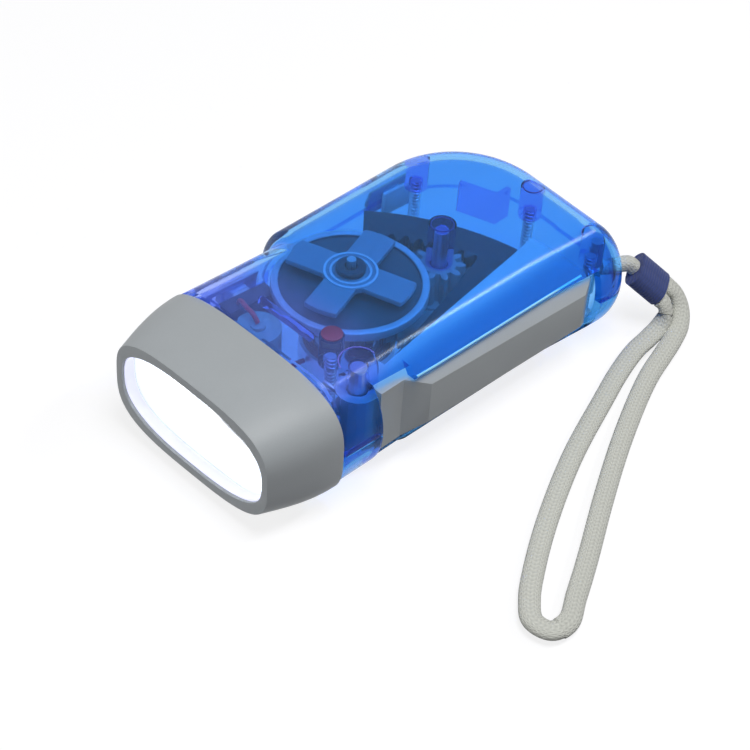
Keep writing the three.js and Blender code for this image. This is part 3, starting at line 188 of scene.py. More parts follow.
THREAD_PITCH = 0.9
THREAD_RIDGE = 0.2
THREAD_SIDES = 6
THREAD_STEPS = 16
# The bead of painted highlight along the top of the lever's window: where it runs, and its radius
HIGHLIGHT_RIM_X = (-34, 14.4)
HIGHLIGHT_RIM_RADIUS = 0.3

# Strap
STRAP_WIDTH = 4.5
STRAP_THICKNESS = 2.3
STRAP_NECK_RADIUS = 1.7
STRAP_FLATNESS_SHARES = (0.75, 0.85)
STRAP_LIFT_SHARES = (0.09, 0.1)
STRAP_LEAN_SHARE = 0.45
NEARLY_UPRIGHT_SHARE = 0.0005
CRIMP_ENDS = ((-54.6, 24.6, 14.8), (-58.6, 29.2, 9.6))
CRIMP_HALF = (4.3, 2.7)
CRIMP_LATERAL = (-0.72, -0.42, 0.2)
NECK_ROUTE = (
    (-48.2, 20, 16), (-50, 21.4, 16.1), (-51.9, 22.5, 16.3), (-53.5, 23.5, 16.1), (-54.4, 24.4, 15),
)
LOOP_ROUTE = (
    (-56.8, 30.55, 8.8), (-57.5, 31.4, 7.85), (-57.5, 32.6, 5.7), (-55, 33.3, 3.4),
    (-50.8, 33.7, 2.5), (-46, 34.2, 2.3), (-38, 36.4, 2.3), (-28.2, 40, 2.3),
    (-11.2, 46.6, 2.3), (6.2, 55.2, 2.3), (18.3, 62.4, 2.3), (25, 67.2, 2.3),
    (28.6, 71.4, 2.3), (27.8, 75.4, 2.3), (23.8, 76.2, 2.3), (17.6, 72.9, 2.3),
    (8.7, 68, 2.3), (-6, 59.4, 2.3), (-20.6, 51.4, 2.3), (-35.1, 44.4, 2.3),
    (-42.7, 41.3, 2.3), (-49.5, 39.2, 2.3), (-54.8, 37.5, 2.4), (-59.4, 35.6, 3),
    (-62.4, 33, 4.8), (-62.9, 30.8, 6.9), (-61.6, 29.2, 8.85), (-60.8, 28.3, 9.9),
)

# Studio lamps: where each shines from, how far off it is, its width and height, and its watts
STUDIO_LAMPS = {
    "key": ((0.1, 0.25, 1), 700, (300, 300), 2.6),
    "edge": ((-0.54, 0.37, 0.75), 700, (300, 60), 1.1),
    "fill": ((0.9, -0.35, 0.3), 900, (600, 600), 1.8),
}
WORLD_LIGHT = 0.08

# Floor
FLOOR_HALF = 4000
FLOOR_DROP = 0.1
FLOOR_COLOUR = (0.25, 0.25, 0.26)
FLOOR_GLOW = 0.82
WHITE = (1, 1, 1, 1)
BLACK = (0, 0, 0, 1)

# Random patterns in the finishes: size of the patches, layers of finer ones, their strength, and stretch
PATTERNS = {
    "flow": (9, 3, 0.55, (0.4, 1, 1)),
    # Scuffs that vary the roughness, and mottle the painted lamplight at the neck
    "scuffs_and_lamplight_mottle": (1.6, 5, 0.7),
    "mottle": (4, 2, 0.6),
    "swirl": (5, 3),
    "tone": (14, 3),
    "grain": (0.35, 2, 0.6),
    "rubbing": (3.5, 4, 0.65),
    "metal_tone": (4, 2),
    "drawn_marks": (0.25, 3, 0.6, (1, 1, 0.08)),
    "casting": (0.35, 3, 0.6),
    "dish_light": (2.2, 3, 0.6),
    "lamp_light": (0.9, 3, 0.6),
    "fibres": (0.22, 4, 0.7),
}

# How far the patterns shade each finish: the lowest and the highest share of its colour
TONE_SHARES = {
    "clear_wall": (0.92, 1),
    # The neck's tint and glow are painted lamplight
    "clear_neck": (0.8, 1.15),
    "painted_spill_glow": (0.3, 1.7),
    "moulding": (0.9, 1.08),
    "metal": (0.86, 1.06),
    "web": (0.93, 1.05),
    "rim": (0.94, 1.05),
    "glow": (0.8, 1),
    # Darker in the braid's grooves: painted shade, with the fibres' own random tone
    "braid": (0.78, 1.04),
}

# Where the clear plastic changes its tint, to painted shade at the lever side and painted lamplight at the
# neck, and how deep the patterns stand in the surfaces
PAINTED_LEVER_SHADE_Y = (19.3, 21.8)
NECK_TINT_X = (13, 26)
FLOW_DEPTH = 0.04
GRAIN_DEPTH = 0.02
FINE_GRAIN_DEPTH = 0.01
DRAWN_MARK_DEPTH = 0.01

# Clear plastics: their own tint, darker at the lever side with painted shade, and at the neck another tint
# and a glow that are painted lamplight spilt in from the head
CLEAR_PLASTICS = {
    "clear_blue": {
        "wall": (0.2, 0.53, 0.97), "painted_lever_shade": (0.06, 0.3, 0.72), "neck": (0.34, 0.43, 0.82),
        "painted_spill_glow": (0.014, 0.024, 0.085), "haze": 0.08, "bending": 1.07, "gloss": 0.24, "clearness": 0.975,
    },
    "clear_violet": {"wall": (0.72, 0.58, 1.0), "haze": 0.06, "bending": 1.06},
    "clear_boss": {"wall": (0.78, 0.85, 1.0), "haze": 0.06, "bending": 1.04},
}
LENS_TINTS = ((0.93, 0.95, 1), (0.98, 0.99, 1))
LENS_SHADOW_TINT = (0.97, 0.98, 1)

# Moulded plastics: colour, roughness, and depth of the grain where it isn't the usual one
MOULDED_PLASTICS = {
    "ring_violet": ((0.17, 0.11, 0.34), 0.4),
    # A pale opaque blue, a painted highlight on the window's edge
    "pale_rim_blue": ((0.3, 0.72, 1.0), 0.2, FINE_GRAIN_DEPTH),
    "satin_grey": ((0.41, 0.44, 0.46), 0.45),
    "dark_moulding": ((0.03, 0.032, 0.04), 0.42),
    "dark_red": ((0.16, 0.012, 0.03), 0.42),
    "grey_nylon": ((0.2, 0.2, 0.22), 0.38),
    "pale_grey": ((0.17, 0.185, 0.22), 0.35),
    "ring_grey": ((0.4, 0.42, 0.46), 0.3),
    "pressed_ferrite": ((0.05, 0.05, 0.055), 0.55),
    "board_green": ((0.03, 0.16, 0.06), 0.4),
    "shrunk_sleeve": ((0.14, 0.3, 0.26), 0.25),
    "red_insulation": ((0.5, 0.03, 0.02), 0.4),
    "dark_insulation": ((0.03, 0.03, 0.035), 0.4),
}

# Bare metals: colour and roughness
BARE_METALS = {
    "bright_steel": ((0.72, 0.74, 0.77), 0.28),
    "brass": ((0.72, 0.5, 0.2), 0.28),
    "silvered_plate": ((0.7, 0.72, 0.75), 0.35),
    "enamelled_copper": ((0.6, 0.22, 0.07), 0.35),
}
FLYWHEEL_WEB_COLOUR = (0.05, 0.055, 0.065)
FLYWHEEL_RIM_COLOUR = (0.42, 0.44, 0.5)

# Surfaces full of lamplight, whose glow is painted on the dish and the mouth's lining and is the lamps' own
# in their epoxy: colour, glow, its strength, metallic share, roughness and pattern of the light
LIT_SURFACES = {
    "lit_chrome": ((0.9, 0.92, 0.95), (0.9, 0.93, 1.0), 1.1, 1.0, 0.12, "dish_light"),
    "lavender_glow": ((0.5, 0.5, 0.6), (0.72, 0.74, 0.95), 0.85, 0.0, 0.4, "dish_light"),
    "lamp_epoxy": ((0.95, 0.96, 1.0), (1.0, 1.0, 1.0), 2.2, 0.0, 0.1, "lamp_light"),
}

# Braids: colour, rows of stitches to the millimetre, columns of stitches round it, and depth of a stitch
STRAP_BRAID = ((0.70, 0.71, 0.65), 0.95, 12, 0.2)
SLEEVE_BRAID = ((0.035, 0.06, 0.22), 1.4, 6, 0.15)
STITCH_SLANT = 0.9
STITCH_SHARE, RIDGE_SHARE, FIBRE_SHARE = 0.25, 0.35, 0.18

# Fineness
SIDE_STEPS = 44
CORNER_STEPS = 14
REAR_STEPS = 40
STRAIGHT_STEPS = 10
RING_STEPS = 120
HEAD_STEPS = 26
ROUND_STEPS = 96
POST_STEPS = 40
STEPS_PER_BEND = 10
STRAP_SIDES = 28
SMOOTH_ANGLE = math.radians(32)
LEVER_SMOOTH_ANGLE = math.radians(14)
FLAT_ANGLE = math.radians(1)
WELD = 0.002

# Solids of the frame that get eased edges: node, piece, ease, smoothed angle, finish, slot and body
EASED_COPIES = (
    ("flywheel_star", "spoked_star", 0.2, SMOOTH_ANGLE, "pale_grey", "star_grey", "rotor"),
    ("squeeze_lever", "lever_handle", 0.3, LEVER_SMOOTH_ANGLE, "satin_grey", "grey_plastic", "lever"),
    ("toothed_sector", "lever_teeth", 0.12, SMOOTH_ANGLE, "dark_moulding", "dark_plastic", "lever"),
    ("switch_plate", "switch_surround", 0.2, SMOOTH_ANGLE, "silvered_plate", "silver_plate", "housing"),
    ("switch_knob", "switch_button", 0.5, SMOOTH_ANGLE, "satin_grey", "grey_plastic", "switch_slider"),
    ("lock_slider", "lock_button", 0.4, SMOOTH_ANGLE, "satin_grey", "grey_plastic", "lock"),
    ("drive_gear", "drive_wheel_teeth", 0.1, SMOOTH_ANGLE, "grey_nylon", "gear_nylon", "drive_wheel"),
)

# Solids of the frame that keep their shape, by finish
KEPT_SOLIDS = {
    "bright_steel": (
        "screw_1", "screw_2", "screw_3", "screw_4",
        "lever_pin", "drive_gear_axle", "rotor_axle", "lanyard_bar",
    ),
    "brass": ("clutch_pinion",),
    "pressed_ferrite": ("rotor_magnet",),
    "silvered_plate": ("stator_cup",),
    "board_green": ("led_board",),
    "shrunk_sleeve": ("storage_cell",),
    "dark_moulding": ("switch_body",),
}

MID = THICKNESS / 2
NECK_FRONT_X = GRIP_FRONT_X + NECK_LENGTH
NOTCH_FRONT_X = GRIP_FRONT_X + NOTCH_EASE
FRONT_X = NECK_FRONT_X + HEAD_DEPTH
SPIGOT_FRONT_X = NECK_FRONT_X + SPIGOT_DEPTH
LENS_FRONT_X = FRONT_X - LIP_DEPTH - GAP
LENS_REAR_X = LENS_FRONT_X - LENS_DEPTH
REFLECTOR_X = (SPIGOT_FRONT_X + GAP, LENS_REAR_X - GAP)


# Plain geometry

def between(low, high, share):
    return low + (high - low) * share


def polar(radius, angle):
    """A point in plan at a distance and an angle from the origin."""
    return Vector((radius * math.cos(angle), radius * math.sin(angle)))


def squared(value, power):
    """A sine or cosine drawn out to make a circle squarer, with its sign kept."""
    return math.copysign(abs(value) ** power, value)


def shape(name, points, faces, edges=()):
    """A mesh object at the origin, from points in millimetres."""
    mesh = bpy.data.meshes.new(name)
    mesh.from_pydata([Vector(point) * MM for point in points], edges, faces)
    mesh.update()
    made = bpy.data.objects.new(name, mesh)
    bpy.context.scene.collection.objects.link(made)
    return made


def loft(name, rings, caps=None):
    """A closed body through rings of equal count, drawn counter-clockwise seen from its far end."""
    count = len(rings[0])
    caps = caps or [tuple(range(count))]
    points = [point for ring in rings for point in ring]
    faces = []
    for level in range(len(rings) - 1):
        for step in range(count):
            here = level * count + step
            beside = level * count + (step + 1) % count
            faces.append((here, beside, beside + count, here + count))
    last = len(points) - count
    faces += [tuple(reversed(cap)) for cap in caps]
    faces += [tuple(last + place for place in cap) for cap in caps]
    return shape(name, points, faces)


def prism(name, outline, bottom, top):
    """An upright body over an outline in plan."""
    levels = [[(x, y, height) for x, y in outline] for height in (bottom, top)]
    return loft(name, levels)


def circle(centre, radius, steps):
    """Points round a centre in plan, counter-clockwise."""
    return [Vector(centre) + polar(radius, math.tau * step / steps) for step in range(steps)]


def post(centre, radius, bottom, top):
    """An upright round post, to join or cut with."""
    return prism("post", circle(centre, radius, POST_STEPS), bottom, top)


def box(low, high):
    """A block between two corners, to cut or keep with."""
    outline = [(low[0], low[1]), (high[0], low[1]), (high[0], high[1]), (low[0], high[1])]
    return prism("box", outline, low[2], high[2])


def rib(route, bottom, top):
    """Straight bars along a route in plan, overlapping at its corners."""
    bars = []
    for start, end in zip(route, route[1:]):
        along = (Vector(end) - Vector(start)).normalized() * (RIB / 2)
        across = Vector((-along.y, along.x))
        first, last = Vector(start) - along, Vector(end) + along
        outline = [first - across, last - across, last + across, first + across]
        bars.append(prism("rib", outline, bottom, top))
    return bars


def turned(name, profile, centre):
    """A closed ring turned round an upright line.

    Its profile is radius and height pairs, counter-clockwise.
    """
    points = []
    for radius, height in profile:
        points += [(x, y, height) for x, y in circle(centre, radius, ROUND_STEPS)]
    faces = []
    for level in range(len(profile)):
        here = level * ROUND_STEPS
        after = (level + 1) % len(profile) * ROUND_STEPS
        for step in range(ROUND_STEPS):
            beside = (step + 1) % ROUND_STEPS
            faces.append((here + step, here + beside, after + beside, after + step))
    return shape(name, points, faces)


def flat_ring(name, centre, inner, outer, bottom, top):
    """A ring of rectangular section round an upright line."""
    return turned(name, [(inner, bottom), (outer, bottom), (outer, top), (inner, top)], centre)


def combined(body, others, operation):
    """The body cut by, joined with or kept within other solids, as a plain mesh."""
    for other in others:
        modifier = body.modifiers.new("combine", "BOOLEAN")
        modifier.operation = operation
        modifier.solver = "MANIFOLD"
        modifier.object = other
    bake_modifiers(body)
    for other in others:
        bpy.data.objects.remove(other)
    return body


def bake_modifiers(body):
    """Gives a body the plain mesh that its modifiers make."""
    graph = bpy.context.evaluated_depsgraph_get()
    graph.update()
    mesh = bpy.data.meshes.new_from_object(body.evaluated_get(graph))
    body.modifiers.clear()
    body.data = mesh


def eased(body, width, segments=2, angle=SMOOTH_ANGLE):
    """Rounds the sharp edges of a body a little and shades the rest smooth."""
    modifier = body.modifiers.new("ease", "BEVEL")
    modifier.width = width * MM
    modifier.segments = segments
    modifier.limit_method = "ANGLE"
    modifier.angle_limit = angle
    modifier.miter_outer = "MITER_ARC"
    bake_modifiers(body)
    return shaded(body, angle)


def shaded(body, angle=SMOOTH_ANGLE):
    """Smooth shading with crisp edges where faces meet past an angle."""
    body.data.shade_smooth()
    body.data.set_sharp_from_angle(angle=angle)
    return body


def welded_copy(node, name):
    """A copy of a solid of the frame with its loose triangles joined up."""
    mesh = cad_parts[node].data.copy()
    work = bmesh.new()
    work.from_mesh(mesh)
    bmesh.ops.remove_doubles(work, verts=work.verts, dist=WELD * MM)
    bmesh.ops.dissolve_limit(work, angle_limit=FLAT_ANGLE, verts=work.verts, edges=work.edges)
    work.to_mesh(mesh)
    work.free()
    mesh.materials.clear()
    made = bpy.data.objects.new(name, mesh)
    bpy.context.scene.collection.objects.link(made)
    return made


def dressed(made, material, slot, body, *nodes):
    """Gives a finished piece its material and the body that it moves with. The slot that it is given is not
    used.

    The piece stands for the solids of the frame that are named.
    """
    made.data.materials.clear()
    made.data.materials.append(material)
    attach(made, body)
    if nodes:
        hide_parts(*nodes)
    return made


# Shader writing

# Places of the Mix node's factor, two colours and resulting colour among its sockets
MIX_FACTOR, MIX_FIRST, MIX_SECOND, MIX_RESULT = 0, 6, 7, 2


class Value:
    """The output of a node, open to plain sums."""

    def __init__(self, wiring, socket):
        self.wiring = wiring
        self.socket = socket

    def __add__(self, other):
        return self.wiring.maths("ADD", self, other)

    def __radd__(self, other):
        return self.wiring.maths("ADD", other, self)

    def __mul__(self, other):
        return self.wiring.maths("MULTIPLY", self, other)

    def __rmul__(self, other):
        return self.wiring.maths("MULTIPLY", other, self)


class Wiring:
    """A node tree and the one way in which its nodes are made and joined."""

    def __init__(self, tree):
        self.tree = tree
        self.tree.nodes.clear()

    def node(self, kind, settings, sockets, output=0):
        made = self.tree.nodes.new(kind)
        for setting, value in settings.items():
            setattr(made, setting, value)
        for socket, value in sockets.items():
            if isinstance(value, Value):
                self.tree.links.new(value.socket, made.inputs[socket])
            else:
                made.inputs[socket].default_value = value
        return Value(self, made.outputs[output]) if made.outputs else None

    def maths(self, operation, *values):
        return self.node("ShaderNodeMath", {"operation": operation}, dict(enumerate(values)))

    def part_of(self, vector, axis):
        return self.node("ShaderNodeSeparateXYZ", {}, {0: vector}, axis)

    def ray(self, kind):
        return self.node("ShaderNodeLightPath", {}, {}, kind)

    def seen_ray(self):
        """1 for rays that look at a surface directly, in a reflection or through clear plastic."""
        reflected = self.maths("MAXIMUM", self.ray("Is Camera Ray"), self.ray("Is Glossy Ray"))
        return self.maths("MAXIMUM", reflected, self.ray("Is Transmission Ray"))


class Recipe(Wiring):
    """The node tree of one material."""

    def __init__(self, name):
        self.material = bpy.data.materials.new(name)
        self.material.use_nodes = True
        super().__init__(self.material.node_tree)

    def place(self):
        return self.node("ShaderNodeTexCoord", {}, {}, "Object")

    def rising(self, axis, ends):
        """0 before the first place on an axis and 1 past the second, with a soft change between them."""
        low, high = ends
        sockets = {"Value": self.part_of(self.place(), axis), "From Min": low * MM, "From Max": high * MM}
        return self.node("ShaderNodeMapRange", {"interpolation_type": "SMOOTHSTEP"}, sockets)

    def pattern(self, name):
        """One of the random patterns, from 0 to 1."""
        return self.patches(*PATTERNS[name])

    def patches(self, size, layers, strength=0.5, stretch=(1, 1, 1)):
        """Soft random patches with layers of finer ones in them."""
        where = self.node("ShaderNodeMapping", {}, {"Vector": self.place(), "Scale": stretch})
        sockets = {"Vector": where, "Scale": 1 / (size * MM), "Detail": layers, "Roughness": strength}
        return self.node("ShaderNodeTexNoise", {}, sockets)

    def mixed(self, factor, first, second):
        sockets = {MIX_FACTOR: factor, MIX_FIRST: first, MIX_SECOND: second}
        return self.node("ShaderNodeMix", {"data_type": "RGBA"}, sockets, MIX_RESULT)

    def toned(self, pattern, colour, tone):
        """A colour that a pattern takes from one share of itself to another."""
        low_share, high_share = TONE_SHARES[tone]
        return self.mixed(pattern, shade(colour, low_share), shade(colour, high_share))

    def raised(self, height, depth, strength):
        """A normal from a height pattern whose full range stands a depth in millimetres."""
        sockets = {"Strength": strength, "Distance": depth * MM, "Height": height}
        return self.node("ShaderNodeBump", {}, sockets)

    def surface(self, sockets):
        return self.node("ShaderNodeBsdfPrincipled", {}, sockets)

    def passing_lamps(self, clear_surface, tint):
        """A clear surface that lets the lamps through with only a tint."""
        passed = self.node("ShaderNodeBsdfTransparent", {}, {"Color": opaque(tint)})
        mix = {0: self.ray("Is Shadow Ray"), 1: clear_surface, 2: passed}
        return self.node("ShaderNodeMixShader", {}, mix)

    def finished(self, shader):
        self.node("ShaderNodeOutputMaterial", {}, {"Surface": shader})
        return self.material


def opaque(colour):
    """A colour with the fourth channel that sockets ask for."""
    return (*colour, 1)


def shade(colour, share):
    return opaque([channel * share for channel in colour])


# Layouts of what repeats or follows a route

class Layout(Wiring):
    """A geometry tree with named inputs that ends in one plain mesh of one material."""

    def __init__(self, name, inputs):
        super().__init__(bpy.data.node_groups.new(name, "GeometryNodeTree"))
        self.tree.interface.new_socket("Geometry", in_out="OUTPUT", socket_type="NodeSocketGeometry")
        for label, kind in {"Geometry": "Geometry", **inputs, "Material": "Material"}.items():
            self.tree.interface.new_socket(label, in_out="INPUT", socket_type=f"NodeSocket{kind}")

    def given(self, label):
        return self.node("NodeGroupInput", {}, {}, label)

    def on_points(self, points, instance, scale=(1, 1, 1)):
        sockets = {"Points": points, "Instance": instance, "Scale": scale}
        return self.node("GeometryNodeInstanceOnPoints", {}, sockets)

    def swept(self, curve, radius):
        """A closed round wire of a radius along a curve, with the number of sides that is given."""
        sockets = {"Resolution": self.given("Sides"), "Radius": radius}
        section = self.node("GeometryNodeCurvePrimitiveCircle", {}, sockets)
        return self.node("GeometryNodeCurveToMesh", {}, {
            "Curve": curve, "Profile Curve": section, "Fill Caps": True,
        })

    def finished(self, geometry):
        """Makes instances real, gives them the material and closes the tree."""
        real = self.node("GeometryNodeRealizeInstances", {}, {"Geometry": geometry})
        smooth = self.node("GeometryNodeSetShadeSmooth", {}, {"Geometry": real})
        sockets = {"Geometry": smooth, "Material": self.given("Material")}
        self.node("NodeGroupOutput", {}, {"Geometry": self.node("GeometryNodeSetMaterial", {}, sockets)})
        return self.tree


def wire_layout():
    """A round wire along the edges of the route that it is given."""
    layout = Layout("wire_along_route", {"Radius": "Float", "Sides": "Int"})
    curve = layout.node("GeometryNodeMeshToCurve", {}, {"Mesh": layout.given("Geometry")})
    return layout.finished(layout.swept(curve, layout.given("Radius")))


def thread_layout():
    """A screw thread standing on each given point."""
    layout = Layout("threads_on_points", {
        "Radius": "Float", "Length": "Float", "Turns": "Float", "Ridge": "Float",
        "Steps": "Int", "Sides": "Int",
    })
    radius = layout.given("Radius")
    spiral = layout.node("GeometryNodeCurveSpiral", {}, {
        "Resolution": layout.given("Steps"), "Rotations": layout.given("Turns"),
        "Start Radius": radius, "End Radius": radius, "Height": layout.given("Length"),
    })
    thread = layout.swept(spiral, layout.given("Ridge"))
    return layout.finished(layout.on_points(layout.given("Geometry"), thread))


def winding_layout():
    """Rings of wire about the upright axis, one through each given point.

    Each is a ring of radius 1, which its point's distance from the axis scales.
    """
    layout = Layout("rings_through_points", {"Radius": "Float", "Steps": "Int", "Sides": "Int"})
    place = layout.node("GeometryNodeInputPosition", {}, {})
    across = layout.part_of(place, "X")
    on_axis = layout.node("ShaderNodeCombineXYZ", {}, {"Z": layout.part_of(place, "Z")})
    wide = layout.node("ShaderNodeCombineXYZ", {}, {"X": across, "Y": across, "Z": 1.0})
    unit_sockets = {"Resolution": layout.given("Steps"), "Radius": 1.0}
    unit_ring = layout.node("GeometryNodeCurvePrimitiveCircle", {}, unit_sockets)
    kept = layout.node("GeometryNodeCaptureAttribute", {}, {"Geometry": layout.given("Geometry")})
    keeper = kept.socket.node
    keeper.capture_items.new("VECTOR", "Size")
    layout.tree.links.new(wide.socket, keeper.inputs["Size"])
    size = Value(layout, keeper.outputs["Size"])
    moved = layout.node("GeometryNodeSetPosition", {}, {"Geometry": kept, "Position": on_axis})
    rings = layout.on_points(moved, unit_ring, size)
    curves = layout.node("GeometryNodeRealizeInstances", {}, {"Geometry": rings})
    return layout.finished(layout.swept(curves, layout.given("Radius")))


def laid_out(name, tree, points, edges, values, material):
    """A piece that a geometry tree makes from points and edges in millimetres, as a plain mesh."""
    piece = shape(name, points, [], edges)
    modifier = piece.modifiers.new("layout", "NODES")
    modifier.node_group = tree
    inputs = [item for item in tree.interface.items_tree if item.in_out == "INPUT"]
    identifiers = {item.name: item.identifier for item in inputs}
    for label, value in {**values, "Material": material}.items():
        modifier[identifiers[label]] = value
    bake_modifiers(piece)
    return piece


# Finishes

def clear_plastic(name, wall, haze, bending, gloss=0, clearness=1, painted_lever_shade=None, neck=None, painted_spill_glow=None):
    """Coloured, slightly hazy clear plastic that lets the lamps through.

    It may be darker at the lever side with painted shade, and have another tint and a glow at the neck that
    are painted lamplight spilt in from the head.
    """
    recipe = Recipe(name)
    flow = recipe.pattern("flow")
    scuffs_and_lamplight_mottle = recipe.pattern("scuffs_and_lamplight_mottle")
    # The mask of the painted shade at the lever side, which also keeps the painted glow off that side
    painted_shade_at_lever = recipe.rising("Y", PAINTED_LEVER_SHADE_Y)
    at_neck = recipe.rising("X", NECK_TINT_X)
    even = recipe.toned(flow, wall, "clear_wall")
    # Another tint at the neck, mottled: painted lamplight
    painted_neck_lamplight = recipe.toned(scuffs_and_lamplight_mottle, neck or wall, "clear_neck")
    sockets = {
        # Darker at the lever side: painted shade
        "Base Color": recipe.mixed(painted_shade_at_lever, recipe.mixed(at_neck, even, painted_neck_lamplight), opaque(painted_lever_shade or wall)),
        "Roughness": haze + scuffs_and_lamplight_mottle * 0.05,
        "IOR": bending,
        "Transmission Weight": clearness,
        "Coat Weight": gloss,
        "Coat Roughness": 0.15,
        "Normal": recipe.raised(flow, FLOW_DEPTH, strength=0.4),
    }
    if painted_spill_glow:
        # A glow at the neck but not at the lever side: painted lamplight
        mottle = recipe.pattern("mottle")
        painted_glow_at_neck = recipe.mixed(at_neck, BLACK, recipe.toned(mottle, painted_spill_glow, "painted_spill_glow"))
        sockets["Emission Color"] = recipe.mixed(painted_shade_at_lever, painted_glow_at_neck, BLACK)
        sockets["Emission Strength"] = 1.0
    shadow_tint = [math.sqrt(channel) for channel in wall]
    return recipe.finished(recipe.passing_lamps(recipe.surface(sockets), shadow_tint))


def clear_lens(name):
    """Colourless plastic of the front window."""
    recipe = Recipe(name)
    swirl = recipe.pattern("swirl")
    glass = recipe.surface({
        "Base Color": recipe.mixed(swirl, opaque(LENS_TINTS[0]), opaque(LENS_TINTS[1])),
        "Roughness": 0.02 + swirl * 0.04,
        "IOR": 1.49,
        "Transmission Weight": 1.0,
    })
    return recipe.finished(recipe.passing_lamps(glass, LENS_SHADOW_TINT))


def moulded_plastic(name, colour, roughness, grain_depth=GRAIN_DEPTH):
    """Opaque moulded plastic with a fine spark-eroded grain and slight tone changes."""
    recipe = Recipe(name)
    tone = recipe.pattern("tone")
    grain = recipe.pattern("grain")
    rubbed = recipe.pattern("rubbing")
    return recipe.finished(recipe.surface({
        "Base Color": recipe.toned(tone * 0.7 + grain * 0.3, colour, "moulding"),
        "Roughness": roughness - 0.05 + rubbed * 0.12,
        "IOR": 1.46,
        "Normal": recipe.raised(grain, grain_depth, strength=0.6),
    }))


def bare_metal(name, colour, roughness):
    """Bare metal with fine drawn marks."""
    recipe = Recipe(name)
    marks = recipe.pattern("drawn_marks")
    return recipe.finished(recipe.surface({
        "Base Color": recipe.toned(recipe.pattern("metal_tone"), colour, "metal"),
        "Metallic": 1.0,
        "Roughness": roughness - 0.06 + marks * 0.16,
        "Normal": recipe.raised(marks, DRAWN_MARK_DEPTH, strength=0.4),
    }))


def ringed_metal(name, web_colour, rim_colour):
    """The flywheel's cast web, dark within its bright machined rim."""
    recipe = Recipe(name)
    centre = (ROTOR_AT[0] * MM, ROTOR_AT[1] * MM, 0)
    offset = recipe.node("ShaderNodeVectorMath", {"operation": "SUBTRACT"}, {0: recipe.place(), 1: centre})
    flat = recipe.node("ShaderNodeVectorMath", {"operation": "MULTIPLY"}, {0: offset, 1: (1, 1, 0)})
    radius = recipe.node("ShaderNodeVectorMath", {"operation": "LENGTH"}, {0: flat}, "Value")
    on_rim = recipe.maths("GREATER_THAN", radius, (FLYWHEEL_RADIUS - FLYWHEEL_RIM) * MM)
    grain = recipe.pattern("casting")
    web = recipe.toned(grain, web_colour, "web")
    rim = recipe.toned(grain, rim_colour, "rim")
    return recipe.finished(recipe.surface({
        "Base Color": recipe.mixed(on_rim, web, rim),
        "Metallic": on_rim * 0.5,
        "Roughness": 0.34 + grain * 0.1,
    }))


def lit_surface(name, colour, glow, strength, metallic, roughness, light):
    """A surface with a glow of its own, a little uneven: painted lamplight, or a lamp's own light."""
    recipe = Recipe(name)
    patches = recipe.pattern(light)
    return recipe.finished(recipe.surface({
        "Base Color": opaque(colour),
        "Metallic": metallic,
        "Roughness": roughness + patches * 0.08,
        "Emission Color": recipe.toned(patches, glow, "glow"),
        "Emission Strength": strength,
    }))


def braid(name, colour, rows, columns, depth):
    """Knitted braid: rows of slanting stitches that follow the piece's own UV map."""
    recipe = Recipe(name)
    where = recipe.node("ShaderNodeUVMap", {"uv_map": "route"}, {})
    column = recipe.maths("PINGPONG", recipe.part_of(where, "X") * columns, 0.5)
    slant = recipe.part_of(where, "Y") * rows + column * STITCH_SLANT
    stitch = recipe.maths("SINE", slant * math.tau)
    ridge = recipe.maths("SINE", column * math.tau)
    fibres = recipe.pattern("fibres")
    height = (stitch * STITCH_SHARE + STITCH_SHARE) + ridge * RIDGE_SHARE + fibres * FIBRE_SHARE
    return recipe.finished(recipe.surface({
        # The colour follows the stitches' height, darker in the grooves: painted shade, with the fibres' own
        # random tone
        "Base Color": recipe.toned(height, colour, "braid"),
        "Roughness": 0.78 + fibres * 0.15,
        "Sheen Weight": 0.25,
        "Sheen Roughness": 0.5,
        "Normal": recipe.raised(height, depth, strength=0.9),
    }))


def paper_white(name):
    """The floor's paper: white to the eye and in reflections, and grey for the light that it gives back."""
    recipe = Recipe(name)
    diffuse = recipe.node("ShaderNodeBsdfDiffuse", {}, {"Color": opaque(FLOOR_COLOUR)})
    strength = recipe.seen_ray() * FLOOR_GLOW
    glow = recipe.node("ShaderNodeEmission", {}, {"Color": WHITE, "Strength": strength})
    return recipe.finished(recipe.node("ShaderNodeAddShader", {}, {0: diffuse, 1: glow}))


def make_finishes():
    """Every finish but the braids and the floor, by its name."""
    finishes = {name: clear_plastic(name, **look) for name, look in CLEAR_PLASTICS.items()}
    finishes |= {name: moulded_plastic(name, *look) for name, look in MOULDED_PLASTICS.items()}
    finishes |= {name: bare_metal(name, *look) for name, look in BARE_METALS.items()}
    finishes |= {name: lit_surface(name, *look) for name, look in LIT_SURFACES.items()}
    finishes["cast_grey"] = ringed_metal("cast_grey", FLYWHEEL_WEB_COLOUR, FLYWHEEL_RIM_COLOUR)
    finishes["clear_lens"] = clear_lens("clear_lens")
    return finishes


# Camera and strap

def place_camera():
    """The photograph's viewing angle, fitted to the torch's outline."""
    camera = bpy.data.cameras.new("photo_camera")
    camera.lens = LENS_LENGTH
    camera.sensor_width = SENSOR_WIDTH
    camera.clip_start = NEAREST_SEEN * MM
    camera.clip_end = FARTHEST_SEEN * MM
    holder = bpy.data.objects.new("photo_camera", camera)
    right = Vector(CAMERA_RIGHT).normalized()
    back = right.cross(Vector(CAMERA_UP)).normalized()
    up = back.cross(right)
    turn = Matrix((right, up, back)).transposed().to_4x4()
    holder.matrix_world = Matrix.Translation(Vector(CAMERA_AT) * MM) @ turn
    bpy.context.scene.collection.objects.link(holder)
    bpy.context.scene.camera = holder


